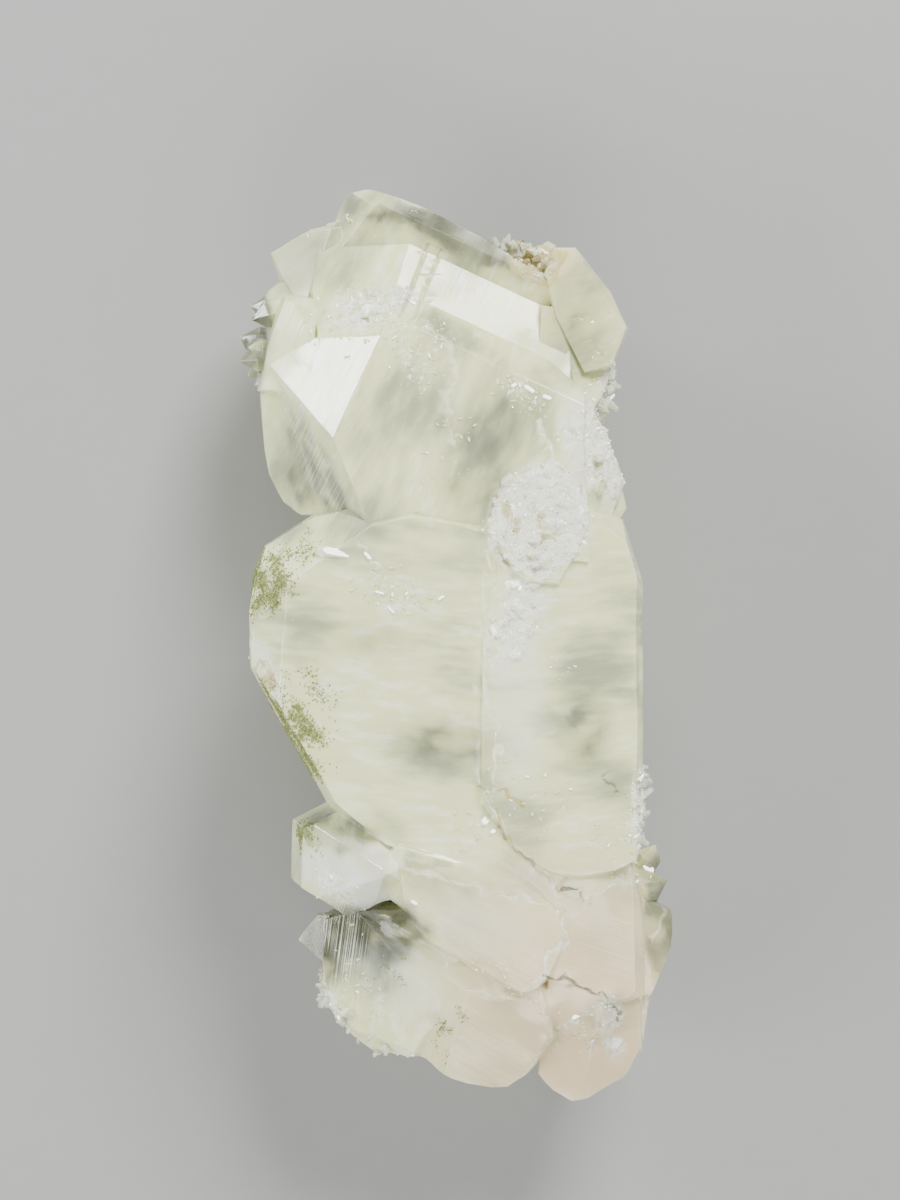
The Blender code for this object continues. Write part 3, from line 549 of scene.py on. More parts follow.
class Finish:
    """A material under construction. Its coordinates are the piece's own, in millimetres."""

    def __init__(self, name):
        self.material = bpy.data.materials.new(name)
        self.material.use_nodes = True
        self.tree = self.material.node_tree
        self.tree.nodes.clear()
        place = self.node("ShaderNodeTexCoord").outputs["Object"]
        self.place = self.scaled(place, 1.0 / MM)

    def node(self, kind, settings=None, sockets=None):
        """Adds one node, whose sockets may also get Values."""
        plain = {name: given.socket if isinstance(given, Value) else given
                 for name, given in (sockets or {}).items()}
        return add_node(self.tree, kind, settings, plain)

    def vector(self, operation, *sockets):
        node = self.node("ShaderNodeVectorMath", {"operation": operation}, dict(enumerate(sockets)))
        return node.outputs["Vector"]

    def scaled(self, vector, amount):
        node = self.node("ShaderNodeVectorMath", {"operation": "SCALE"}, {0: vector, "Scale": amount})
        return node.outputs["Vector"]

    def dot(self, one, other):
        node = self.node("ShaderNodeVectorMath", {"operation": "DOT_PRODUCT"}, {0: one, 1: other})
        return Value(self, node.outputs["Value"])

    def painted(self, name):
        """A number painted on the mesh."""
        return Value(self, self.node("ShaderNodeAttribute", {"attribute_name": name}).outputs["Fac"])

    def noise(self, place, scale, detail=2.0, roughness=0.5):
        """Smooth noise over a vector, or along a line when the place is a number."""
        line = isinstance(place, Value)
        node = self.node("ShaderNodeTexNoise", {"noise_dimensions": "1D" if line else "3D"}, {
            "W" if line else "Vector": place, "Scale": scale, "Detail": detail, "Roughness": roughness})
        return Value(self, node.outputs["Fac"])

    def mix(self, amount, one, other):
        """From colour one to colour other."""
        node = self.node("ShaderNodeMix", {"data_type": "RGBA"}, {0: amount, 6: one, 7: other})
        return node.outputs[2]

    def bump(self, height, strength):
        """A normal raised by a height in millimetres."""
        sockets = {"Height": height, "Distance": MM, "Strength": strength}
        return self.node("ShaderNodeBump", None, sockets).outputs["Normal"]

    def principled(self, **sockets):
        named = {name.replace("_", " "): given for name, given in sockets.items()}
        return self.node("ShaderNodeBsdfPrincipled", None, named).outputs["BSDF"]

    def blend(self, amount, one, other):
        return self.node("ShaderNodeMixShader", None, {0: amount, 1: one, 2: other}).outputs["Shader"]

    def done(self, surface, volume=None):
        sockets = {"Surface": surface}
        if volume is not None:
            sockets["Volume"] = volume
        self.node("ShaderNodeOutputMaterial", None, sockets)
        return self.material


def opaque(colour):
    return (*colour, 1.0)


def quartz_finish(colours):
    """Milky quartz that clears in places, striated across each crystal's axis, sugary where it broke."""
    finish = Finish("quartz_milky")
    axis = finish.node("ShaderNodeAttribute", {"attribute_name": "axis"}).outputs["Vector"]
    along = finish.dot(finish.place, axis)
    sugar, clear, crack, green, rust, dirt_and_shade, worn_and_highlit, cloud, blush, flecked, dull = map(finish.painted, (
        "sugary", "clear", "crack", "green", "rust", "dirt_and_shade", "worn_and_highlit", "cloud", "blush", "flecked", "dull"))

    stretched = finish.vector("ADD", finish.scaled(finish.place, 0.30), finish.scaled(axis, along * 0.70))
    veils = finish.noise(stretched, 0.17, 3.0, 0.64)
    streaks = finish.noise(stretched, 0.70, 3.0, 0.65)
    fine = finish.noise(finish.place, 1.5, 2.0, 0.7)

    # Painted shade: clear places darken the body towards the grey green, for the dark seen through them
    clear_shade = (clear * 1.3 - veils * 0.75).between(0.0, 0.75)
    milk = 0.80 + (veils - 0.5) * 1.7 + cloud * 0.22 + (streaks - 0.5) * 0.5
    milk = (milk - clear_shade * 0.6 + sugar * 0.4 + crack * 0.3).clamped()

    body = finish.mix(milk.between(0.15, 0.95), opaque(colours.depth), opaque(colours.milk))
    wisps = streaks.between(0.45, 0.72) * (0.12 + cloud.between(-0.4, 1.2) * 0.6)
    body = finish.mix(wisps, body, opaque(colours.veil_and_highlight))
    # Whiter places, with a painted highlight on the small clear crystal's lower face
    body = finish.mix(finish.painted("pale"), body, opaque(colours.veil_and_highlight))
    body = finish.mix((blush - clear).clamped(), body, opaque(colours.blush))
    # White specks where the quartz cracked inside, partly painted glints
    flecks_and_glints = (flecked + abs(fine - streaks) * 3.2).between(1.18, 1.45)
    lines = finish.noise(along, 2.2, 2.0, 0.7)
    threads = finish.noise(along, 4.4, 2.0, 0.7).between(0.5, 0.64)
    threads = threads * finish.painted("threaded") * 0.75
    # White cracks and bevelled edges; on the edges this white is a painted edge highlight with some real
    # wear
    chips_and_edge_highlight = (crack * 1.4 + worn_and_highlit * 0.7) * (0.2 + fine.between(0.35, 0.62) * 0.8)
    white = (sugar * (0.7 + fine * 0.4) + chips_and_edge_highlight + flecks_and_glints + threads).clamped()
    body = finish.mix(white, body, opaque(colours.veil_and_highlight))
    seams = 1.0 - abs(fine - 0.5).between(0.0, 0.03)
    body = finish.mix(sugar * seams * 0.35, body, opaque(colours.depth))
    pits = fine.between(0.66, 0.74) * (flecked + sugar).clamped() * 0.55
    specks = (green * 1.2 - fine * 1.5).between(0.0, 0.5)
    body = finish.mix(specks * 0.85, body, opaque(colours.chlorite))
    stain = (rust * 1.25 - fine * 0.75).between(0.05, 0.6)
    body = finish.mix(stain * 0.7, body, opaque(colours.rust))
    # Darkening: dark cracks, painted shade in grooves and in clear places, and tiny dark pits
    dark = (dirt_and_shade * 0.9 + finish.painted("deep") + pits).clamped()
    body = finish.mix(dark, body, opaque(colours.dirt_and_shade))

    normal = finish.bump(lines * 0.045, 0.5)

    roughness = 0.09 + sugar * 0.14 + specks * 0.4 + streaks * 0.08 + dull * 0.3
    milky = finish.principled(
        Base_Color=body, Roughness=roughness, IOR=QUARTZ_IOR, Subsurface_Weight=0.38,
        Subsurface_Radius=SPREAD_PARTS, Subsurface_Scale=SPREAD * MM, Normal=normal)
    glassy = finish.principled(
        Base_Color=(0.97, 0.98, 0.94, 1.0), Roughness=0.03, IOR=QUARTZ_IOR, Transmission_Weight=1.0,
        Normal=normal)
    seen_into = clear * (0.35 + veils * 0.7)
    covered = specks * 0.4 + stain * 0.4 + crack * 0.5 + flecks_and_glints * 0.5 + threads
    share = (1.0 - seen_into + covered).clamped()
    haze = finish.node("ShaderNodeVolumeAbsorption", None, {"Color": HAZE, "Density": HAZE_DENSITY})
    return finish.done(finish.blend(share, glassy, milky), haze.outputs["Volume"])


def grain_finish(colours, name, roughness, clearness, low=0.2, high=0.5):
    """Small quartz grains, stained where the quartz is, milky in low shades and white in high ones."""
    finish = Finish(name)
    shade = finish.noise(finish.place, 1.1, 3.0, 0.6)
    body = finish.mix(shade.between(low, high), opaque(colours.milk), opaque(colours.veil_and_highlight))
    stain = (finish.painted("rust") * 1.3 - shade * 0.5).clamped() * 0.8
    body = finish.mix(stain, body, opaque(colours.rust))
    return finish.done(finish.principled(Base_Color=body, Roughness=roughness, IOR=QUARTZ_IOR,
                                         Transmission_Weight=clearness))


def chlorite_finish(colour):
    """Dull green grains, each a little lighter or darker than the next."""
    finish = Finish("chlorite")
    darker = tuple(CHLORITE_SHADE * channel for channel in colour)
    shade = finish.noise(finish.place, 1.4, 2.0).between(0.3, 0.7)
    body = finish.mix(shade, opaque(darker), opaque(colour))
    return finish.done(finish.principled(Base_Color=body, Roughness=0.5))


def floor_finish(colour):
    finish = Finish("table_top")
    grain = finish.noise(finish.place, 0.35, 2.0, 0.6)
    lighter = tuple(min(1.0, 1.04 * channel) for channel in colour)
    return finish.done(finish.principled(Base_Color=finish.mix(grain, opaque(colour), opaque(lighter)),
                                         Roughness=0.6))


def coordinates(mesh, name="co"):
    """The corners' places or normals as rows of three numbers."""
    numbers = np.empty(len(mesh.vertices) * 3)
    mesh.vertices.foreach_get(name, numbers)
    return numbers.reshape(-1, 3)


def ripple(points, size, seed):
    """A smooth random number at each point, mostly from -1 to 1, with hills about a size apart."""
    dice = np.random.default_rng(seed)
    total = np.zeros(len(points))
    for _ in range(RIPPLE_WAVES):
        direction = dice.normal(size=3)
        direction /= np.linalg.norm(direction)
        length = size * dice.uniform(0.7, 1.9)
        total += np.sin(points @ direction * (2.0 * math.pi / length) + dice.uniform(0.0, 2.0 * math.pi))
    return total / math.sqrt(0.5 * RIPPLE_WAVES)


def patch_weights(points, patches):
    """How strongly a list of soft elliptical patches covers each point, seen from above."""
    weights = np.zeros(len(points))
    for (x, y), half_length, half_width, bearing, soft, strength in patches:
        turn = math.radians(bearing)
        dx, dy = points[:, 0] - x, points[:, 1] - y
        u = (dx * math.cos(turn) + dy * math.sin(turn)) / half_length
        v = (dy * math.cos(turn) - dx * math.sin(turn)) / half_width
        reach = np.sqrt(u * u + v * v)
        inside = np.clip((1.0 + 0.5 * soft - reach) / soft, 0.0, 1.0)
        weights = np.maximum(weights, strength * inside * inside * (3.0 - 2.0 * inside))
    return weights


def from_course(points, course):
    """Each point's distance from a line of straight stretches, seen from above."""
    nearest = np.full(len(points), 1e9)
    for start, end in zip(course, course[1:]):
        start, along = np.array(start), np.array(end) - np.array(start)
        step = np.clip(((points[:, :2] - start) @ along) / (along @ along), 0.0, 1.0)
        gap = points[:, :2] - start - step[:, None] * along
        nearest = np.minimum(nearest, np.hypot(gap[:, 0], gap[:, 1]))
    return nearest


def crack_weights(points, fills):
    """How deep in a crack each point is, of the cracks with one of the given fills."""
    wander = np.stack([ripple(points, *STRAYING_X), ripple(points, *STRAYING_Y)], 1) * CRACK_WANDER
    strayed = points[:, :2] + wander
    thickness = np.clip(0.75 + 0.45 * ripple(points, *CRACK_THICKNESS), 0.25, 1.4)
    weights = np.zeros(len(points))
    for fill, strength, half_width, course in CRACKS:
        if fill in fills:
            if fill == "groove":
                reach = from_course(points, course) / half_width
            else:
                reach = from_course(strayed, course) / (half_width * thickness)
            weights = np.maximum(weights, strength * np.clip(1.7 - 1.7 * reach, 0.0, 1.0))
    return weights


def upper_side(points, wander=0.0):
    """1 on the side that shows, 0 on the walls and the back. A wander moves the rim up or down."""
    return np.clip((points[:, 2] + wander - SIDE_ENDS * TOP) / (SIDE_SOFTNESS * TOP), 0.0, 1.0)


def paint(mesh, name, values):
    layer = mesh.attributes.new(name, "FLOAT", "POINT")
    layer.data.foreach_set("value", values.astype(np.float32))


def merged_solid():
    """The solid's faces with their loose triangles joined up and its flat faces whole."""
    work = bmesh.new()
    work.from_mesh(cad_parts[SOLID].data)
    bmesh.ops.remove_doubles(work, verts=work.verts, dist=SAME_CORNER * MM)
    flat = math.radians(FLAT_ANGLE)
    bmesh.ops.dissolve_limit(work, angle_limit=flat, verts=work.verts, edges=work.edges)
    return work


def worn_edges(work, width):
    """Gives each long sharp edge a narrow bevelled face that catches the light, and marks it to be
    whitened as a painted edge highlight with some real wear.
    """
    def crowded(corner):
        return any(edge.calc_length() < CROWDED_LENGTH * width for edge in corner.link_edges)

    worn_and_highlit = work.faces.layers.float.new("worn_and_highlit")
    sharp = [edge for edge in work.edges
             if len(edge.link_faces) == 2 and edge.calc_face_angle(0.0) > math.radians(WORN_ANGLE)
             and edge.calc_length() > WORN_LENGTH * width and not any(map(crowded, edge.verts))]
    made = bmesh.ops.bevel(
        work, geom=sharp, offset=0.5 * width, offset_type="WIDTH", segments=1, profile=0.5,
        affect="EDGES", clamp_overlap=False)
    for face in made["faces"]:
        face[worn_and_highlit] = 1.0


def name_crystals(work):
    """Gives each face the axis of the crystal that it belongs to."""
    seeds = [(Vector(place) * MM, math.radians(bearing)) for place, bearing in CRYSTALS.values()]
    layer = work.faces.layers.float_vector.new("axis")
    for face in work.faces:
        middle = face.calc_center_median()
        _, bearing = min(seeds, key=lambda seed: (seed[0] - middle).length)
        face[layer] = Vector((math.cos(bearing), math.sin(bearing), 0.0))


def longest_map(spacing, fine):
    """The longest edge wanted on each square of a map: fine at cracks and sugary places."""
    (left, near, _), (right, far, _) = CAD_BOX
    across, along = np.meshgrid(np.arange(left / MM, right / MM + MAP_SQUARE, MAP_SQUARE),
                                np.arange(near / MM, far / MM + MAP_SQUARE, MAP_SQUARE), indexing="ij")
    places = np.stack([across.ravel(), along.ravel()], 1)
    wanted = np.where(patch_weights(places, HEALED) > 0.15, 0.6 * spacing, spacing)
    wanted[patch_weights(places, SUGARY) > 0.3] = 1.25 * fine
    for _, _, half_width, course in CRACKS:
        wanted[from_course(places, course) < half_width + CRACK_MARGIN] = fine
    return wanted.reshape(across.shape)


def longest_at(points, wanted, spacing):
    """The longest edge wanted at each point. The sides and the back are coarse."""
    start = np.array(CAD_BOX[0][:2]) / MM
    square = ((points[:, :2] - start) / MAP_SQUARE).astype(int)
    square = np.clip(square, 0, np.array(wanted.shape) - 1)
    return np.where(points[:, 2] > FINE_FROM * TOP, wanted[square[:, 0], square[:, 1]], spacing)


def refine(points, triangles, spacing, fine):
    """Splits long edges until each is short enough, and says which triangle each new one came from."""
    origin = np.arange(len(triangles))
    wanted = longest_map(spacing, fine)
    for _ in range(REFINING_ROUNDS):
        edges = np.sort(triangles[:, [[0, 1], [1, 2], [2, 0]]], axis=2)
        unique, place = np.unique(edges[..., 0] * len(points) + edges[..., 1], return_inverse=True)
        one, other = points[unique // len(points)], points[unique % len(points)]
        middles = 0.5 * (one + other)
        cut = np.linalg.norm(one - other, axis=1) > longest_at(middles, wanted, spacing)
        if not cut.any():
            break
        numbers = np.full(len(unique), -1)
        numbers[cut] = len(points) + np.arange(cut.sum())
        points = np.vstack([points, middles[cut]])
        halves = numbers[place.reshape(-1, 3)]
        many = (halves >= 0).sum(1)
        # Turned so that a single cut is on the first side, and a single whole side is the last
        single_cut, single_whole = np.argmax(halves >= 0, axis=1), np.argmin(halves >= 0, axis=1)
        turn = np.where(many == 1, single_cut, (single_whole + 1) % 3)
        turned = (turn[:, None] + np.arange(3)) % 3
        a, b, c = np.take_along_axis(triangles, turned, 1).T
        ab, bc, ca = np.take_along_axis(halves, turned, 1).T
        one, other = points[a] - points[bc], points[ab] - points[c]
        short = np.linalg.norm(one, axis=1) < np.linalg.norm(other, axis=1)
        pieces = []
        for chosen, corners in (
                (many == 0, [(a, b, c)]),
                (many == 1, [(a, ab, c), (ab, b, c)]),
                ((many == 2) & short, [(ab, b, bc), (a, ab, bc), (a, bc, c)]),
                ((many == 2) & ~short, [(ab, b, bc), (a, ab, c), (ab, bc, c)]),
                (many == 3, [(a, ab, ca), (ab, b, bc), (ca, bc, c), (ab, bc, ca)])):
            for corner in corners:
                pieces.append((np.stack(corner, 1)[chosen], origin[chosen]))
        triangles = np.vstack([piece for piece, _ in pieces])
        origin = np.concatenate([came for _, came in pieces])
    return points, triangles, origin


def refined_mesh(work, sizes):
    """A plain mesh of small triangles, with the marked bevel faces and the crystals' axes carried over.
    """
    bmesh.ops.triangulate(work, faces=work.faces)
    work.verts.index_update()
    points = np.array([corner.co[:] for corner in work.verts]) / MM
    triangles = np.array([[corner.index for corner in face.verts] for face in work.faces])
    worn_and_highlit = np.array([face[work.faces.layers.float["worn_and_highlit"]] for face in work.faces])
    axes = np.array([face[work.faces.layers.float_vector["axis"]][:] for face in work.faces])
    work.free()
    # The triangles come in another order each time, and the scatter of grains follows that order
    order = np.lexsort(triangles.T)
    triangles, worn_and_highlit, axes = triangles[order], worn_and_highlit[order], axes[order]
    points, triangles, origin = refine(points, triangles, sizes.spacing / MM, sizes.fine / MM)
    mesh = bpy.data.meshes.new("quartz_body")
    mesh.from_pydata((points * MM).tolist(), [], triangles.tolist())
    mesh.attributes.new("worn_and_highlit", "FLOAT", "FACE").data.foreach_set("value", worn_and_highlit[origin])
    mesh.attributes.new("axis", "FLOAT_VECTOR", "FACE").data.foreach_set("vector", axes[origin].ravel())
    return mesh


def heal(mesh):
    """Fills hollows and smooths the steps between crystals that have healed together."""
    points = coordinates(mesh) / MM
    for patches, least in ((FILLED, 0.0), (LEVELLED, -TOP)):
        for patch, height, across, along in patches:
            (x, y), *_ = patch
            level = height + across * (points[:, 0] - x) + along * (points[:, 1] - y)
            missing = level - points[:, 2]
            shallow = np.clip((DEEPEST_FILLED - missing) / FILLING_SOFTNESS, 0.0, 1.0)
            points[:, 2] += patch_weights(points, [patch]) * shallow * np.maximum(missing, least)
    pairs = np.empty(len(mesh.edges) * 2, dtype=np.int64)
    mesh.edges.foreach_get("vertices", pairs)
    pairs = pairs.reshape(-1, 2)
    share = patch_weights(points, HEALED) * upper_side(points)
    pairs = pairs[(share[pairs] > 0.0).any(1)]
    here, there = np.concatenate([pairs, pairs[:, ::-1]]).T
    pull = 1.0 / (np.linalg.norm(points[here] - points[there], axis=1) + 0.1)
    weight = np.maximum(np.bincount(here, pull, len(points)), 1e-9)
    for _ in range(HEALING_ROUNDS):
        for side in range(3):
            drawn = np.bincount(here, pull * points[there, side], len(points)) / weight
            points[:, side] += 0.5 * share * (drawn - points[:, side])
    mesh.vertices.foreach_set("co", (points * MM).ravel())
    corners = np.empty(len(mesh.polygons) * 3, dtype=np.int64)
    mesh.polygons.foreach_get("vertices", corners)
    worn_and_highlit = np.empty(len(mesh.polygons), dtype=np.float32)
    mesh.attributes["worn_and_highlit"].data.foreach_get("value", worn_and_highlit)
    worn_and_highlit *= 1.0 - WEAR_AND_HIGHLIGHT_HEALED * share[corners.reshape(-1, 3)].mean(1)
    mesh.attributes["worn_and_highlit"].data.foreach_set("value", worn_and_highlit)


def broken_facets(points, strength, size, seed):
    """Heights that break a surface into small tilted facets."""
    dice = np.random.default_rng(seed)
    chosen = np.nonzero(strength > 0.05)[0]
    if not len(chosen):
        return np.zeros(len(points))
    low, high = points[chosen].min(0), points[chosen].max(0)
    cells = {}
    for index in chosen:
        cells.setdefault(tuple(((points[index] - low) / size).astype(int)), []).append(index)
    sites = np.array([points[dice.choice(members)] for _, members in sorted(cells.items())])
    tilts = dice.normal(scale=FACET_TILT, size=(len(sites), 3))
    steps = dice.uniform(-FACET_STEP, FACET_STEP, size=len(sites)) * size
    tree = KDTree(len(sites))
    for number, site in enumerate(sites):
        tree.insert(site, number)
    tree.balance()
    heights = np.zeros(len(points))
    for index in chosen:
        _, number, _ = tree.find(points[index])
        heights[index] = steps[number] + tilts[number] @ (points[index] - sites[number])
    return heights


def weather(mesh, sizes):
    """Raises low hills, breaks up sugary places, opens the cracks and paints what the finish needs."""
    points = coordinates(mesh) / MM
    normals = coordinates(mesh, "normal")
    above = upper_side(points, SIDE_WANDER * ripple(points, *SIDE_RIM) - SIDE_WANDER)
    resting = np.clip(points[:, 2] / RESTING, 0.0, 1.0)
    sugary = patch_weights(points, SUGARY) * above
    ragged = np.clip(sugary * (1.15 + 0.35 * ripple(points, *RAGGED)), 0.0, 1.0)
    lift = sizes.swell * (ripple(points, *HILLS) + 0.45 * ripple(points, *LOW_HILLS)) * resting
    broken = broken_facets(points, ragged, sizes.facet / MM, FACET_SEED)
    lift += sizes.relief * ragged * (broken + 0.12 * ripple(points, *GRIT))
    opened = crack_weights(points, ("white", "rust", "dark", "groove")) * above
    lift -= sizes.groove * opened
    moved = np.clip(points * MM + normals * lift[:, None], CAD_BOX[0], CAD_BOX[1])
    mesh.vertices.foreach_set("co", moved.ravel())

    paint(mesh, "sugary", ragged)
    paint(mesh, "cloud", ripple(points, *CLOUDS))
    cleared = patch_weights(points, CLEAR) * (1.0 + 0.25 * ripple(points, *UNEVEN))
    paint(mesh, "clear", np.clip(cleared, 0.0, 1.0))
    paint(mesh, "dull", patch_weights(points, DULL))
    # Painted shade where clear places show the dark seen through them
    paint(mesh, "deep", patch_weights(points, PAINTED_SHADE_CLEAR))
    # pale carries a painted highlight on the small clear crystal's lower face as well as whiter places
    for name, patches in (("flecked", FLECKED), ("pale", PALE_AND_HIGHLIT), ("threaded", THREADED)):
        paint(mesh, name, patch_weights(points, patches) * above)
    upper = np.clip(points[:, 2] / TOP * 3.0 - 0.6, 0.0, 1.0)
    paint(mesh, "bristling", patch_weights(points, BRISTLING) * upper)
    lower_right = np.clip((points[:, :2] * (1.0, -1.0) - WARMTH_FROM) / WARMTH_RISE, 0.0, 1.0).prod(1)
    facing = np.clip(1.6 * normals[:, 2] - 0.2, 0.0, 1.0)
    tinted = patch_weights(points, BLUSHING) * above
    paint(mesh, "blush", np.maximum(lower_right * (0.25 + 0.75 * facing), tinted))
    patchy = 1.0 + 0.75 * ripple(points, *PATCHY) + 0.45 * ripple(points, *SPOTTY)
    paint(mesh, "green", np.clip(patch_weights(points, GREEN) * above * patchy, 0.0, 1.0))
    stained = patch_weights(points, RUST) * patchy + crack_weights(points, ("rust",))
    paint(mesh, "rust", np.clip(stained, 0.0, 1.0) * above)
    paint(mesh, "crack", crack_weights(points, ("white",)) * above)
    # Dark cracks, and painted shade along the grooves
    dark = np.maximum(crack_weights(points, ("dark",)), GROOVE_SHADE * crack_weights(points, ("groove",)))
    paint(mesh, "dirt_and_shade", dark * above)


def finish_piece(piece, material):
    piece.data.materials.clear()
    piece.data.materials.append(material)
    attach(piece, BODY)


def new_object(name, mesh):
    thing = bpy.data.objects.new(name, mesh)
    bpy.context.scene.collection.objects.link(thing)
    return thing


class QUARTZ_OT_body(bpy.types.Operator):
    """Make the crystals' surface with its bevelled edges, and paint where it is clear, sugary and
    stained, and where painted shade and highlights go
    """

    bl_idname = "quartz.body"
    bl_label = "Quartz Body"

    def execute(self, context):
        sizes = context.scene.quartz_sizes
        work = merged_solid()
        name_crystals(work)
        worn_edges(work, sizes.edge)
        mesh = refined_mesh(work, sizes)
        heal(mesh)
        weather(mesh, sizes)
        mesh.shade_smooth()
        mesh.set_sharp_from_angle(angle=math.radians(SHARP_ANGLE))
        body = new_object("quartz_body", mesh)
        finish_piece(body, quartz_finish(context.scene.quartz_colours))
        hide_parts(SOLID)
        return {"FINISHED"}


def grain_tree(name, density_name):
    """A node tree that strews small crystals over a surface where a painted number is high."""
    tree = bpy.data.node_groups.new(name, "GeometryNodeTree")
    face = tree.interface
    face.new_socket("Geometry", in_out="INPUT", socket_type="NodeSocketGeometry")
    for label, default in GRAIN_INPUTS.items():
        face.new_socket(label, in_out="INPUT", socket_type="NodeSocketFloat").default_value = default
    face.new_socket("Seed", in_out="INPUT", socket_type="NodeSocketInt")
    face.new_socket("Material", in_out="INPUT", socket_type="NodeSocketMaterial")
    face.new_socket("Geometry", in_out="OUTPUT", socket_type="NodeSocketGeometry")

    node = partial(add_node, tree)
    given = node("NodeGroupInput").outputs
    where = node("GeometryNodeInputNamedAttribute", {"data_type": "FLOAT"}, {"Name": density_name})
    enough = node("ShaderNodeMapRange", None,
                  {"Value": where.outputs["Attribute"], "From Min": given["Least"], "From Max": 1.0})
    amount = node("ShaderNodeMath", {"operation": "MULTIPLY"},
                  {0: enough.outputs["Result"], 1: given["Density"]})
    spread = node("GeometryNodeDistributePointsOnFaces", None,
                  {"Mesh": given["Geometry"], "Density": amount.outputs[0], "Seed": given["Seed"]})
    size = node("FunctionNodeRandomValue", {"data_type": "FLOAT"},
                {2: SMALLEST_GRAIN, 3: 1.0, "Seed": given["Seed"]})
    chance = node("FunctionNodeRandomValue", {"data_type": "FLOAT_VECTOR"},
                  {0: (-1.0, -1.0, 0.0), 1: (1.0, 1.0, FULL_TURN), "Seed": given["Seed"]})
    most = node("ShaderNodeCombineXYZ", None, {"X": given["Tilt"], "Y": given["Tilt"], "Z": 1.0})
    turn = node("ShaderNodeVectorMath", {"operation": "MULTIPLY"},
                {0: chance.outputs[0], 1: most.outputs[0]})
    faced = node("FunctionNodeAlignRotationToVector", {"axis": "Z"},
                 {"Rotation": spread.outputs["Rotation"], "Factor": given["Facing"],
                  "Vector": LEDGE_NORMAL})
    turned = node("FunctionNodeRotateRotation", {"rotation_space": "LOCAL"},
                  {"Rotation": faced.outputs["Rotation"], "Rotate By": turn.outputs[0]})
    grain = node("GeometryNodeMeshCone", {"fill_type": "NGON"},
                 {"Vertices": 6, "Side Segments": 1, "Radius Top": given["Tip"], "Radius Bottom": 0.5,
                  "Depth": given["Slimness"]})
    wide = node("ShaderNodeMath", {"operation": "MULTIPLY"}, {0: size.outputs[1], 1: given["Width"]})
    form = node("ShaderNodeCombineXYZ", None, {"X": 1.0, "Y": given["Breadth"], "Z": 1.0})
    scale = node("ShaderNodeVectorMath", {"operation": "SCALE"},
                 {0: form.outputs[0], "Scale": wide.outputs[0]})
    strewn = node("GeometryNodeInstanceOnPoints", None,
                  {"Points": spread.outputs["Points"], "Instance": grain.outputs["Mesh"],
                   "Rotation": turned.outputs["Rotation"], "Scale": scale.outputs[0]})
    real = node("GeometryNodeRealizeInstances", None, {"Geometry": strewn.outputs["Instances"]})
    coated = node("GeometryNodeSetMaterial", None,
                  {"Geometry": real.outputs["Geometry"], "Material": given["Material"]})
    node("NodeGroupOutput", None, {"Geometry": coated.outputs["Geometry"]})
    return tree


def strewn_grains(name, painted, size, step, form, material):
    """Makes a plain mesh of the grains that a node tree strews over the quartz body."""
    sizes = bpy.context.scene.quartz_sizes
    source = new_object(name, bpy.data.objects["quartz_body"].data.copy())
    modifier = source.modifiers.new("grains", "NODES")
    modifier.node_group = grain_tree(name, painted)
    chosen = {"Width": getattr(sizes, size), "Density": getattr(sizes, size + "_density"),
              "Seed": sizes.seed + step, "Material": material, **form}
    for item in modifier.node_group.interface.items_tree:
        if item.in_out == "INPUT" and item.name in chosen:
            modifier[item.identifier] = chosen[item.name]
    graph = bpy.context.evaluated_depsgraph_get()
    mesh = bpy.data.meshes.new_from_object(source.evaluated_get(graph))
    source.modifiers.clear()
    inside = np.clip(coordinates(mesh), CAD_BOX[0], CAD_BOX[1])
    mesh.vertices.foreach_set("co", inside.ravel())
    source.data = mesh
    if not mesh.polygons:
        raise RuntimeError(f"{name} has no grains")
    finish_piece(source, material)


class QUARTZ_OT_grains(bpy.types.Operator):
    """Strew sugary grains, clear points on the broken edges and bright flakes"""

    bl_idname = "quartz.grains"
    bl_label = "Quartz Grains"

    def execute(self, context):
        for name, (painted, size, step, looks, form) in GRAINS.items():
            material = grain_finish(context.scene.quartz_colours, *looks)
            strewn_grains(name, painted, size, step, form, material)
        return {"FINISHED"}


def ledge(work, surface, place, length, width, bearing):
    """A thin tilted plate that is half sunk in the surface below its place."""
    x, y = place
    over = Vector((x * MM, y * MM, CAD_BOX[1][2] + MM))
    hit, point, _, _ = surface.ray_cast(over, Vector((0.0, 0.0, -1.0)))
    if not hit:
        raise RuntimeError(f"Nothing lies under the ledge at {place}")
    level = Vector(LEDGE_NORMAL).normalized()
    along = Vector((math.cos(math.radians(bearing)), math.sin(math.radians(bearing)), 0.0))
    along = (along - along.dot(level) * level).normalized()
    across = level.cross(along)
    rims = []
    for rise, size in LEDGE_RIMS:
        rims.append([])
        for u, v in LEDGE_OUTLINE:
            offset = along * u * length * size + across * v * width * size + level * rise
            rims[-1].append(work.verts.new(point + offset * MM))
    work.faces.new(rims[0])
    count = len(LEDGE_OUTLINE)
    for index in range(count):
        after = (index + 1) % count
        work.faces.new((rims[1][index], rims[1][after], rims[0][after], rims[0][index]))
    work.faces.new(reversed(rims[1]))


class QUARTZ_OT_ledges(bpy.types.Operator):
    """Set the few larger bright faces into the crystals"""

    bl_idname = "quartz.ledges"
    bl_label = "Bright Ledges"

    def execute(self, context):
        surface = bpy.data.objects["quartz_body"]
        context.view_layer.update()
        work = bmesh.new()
        for place, length, width, bearing in LEDGES:
            ledge(work, surface, place, length, width, bearing)
        mesh = bpy.data.meshes.new("bright_ledges")
        work.to_mesh(mesh)
        work.free()
        material = grain_finish(context.scene.quartz_colours, "quartz_ledge", 0.10, 0.0)
        finish_piece(new_object("bright_ledges", mesh), material)
        return {"FINISHED"}


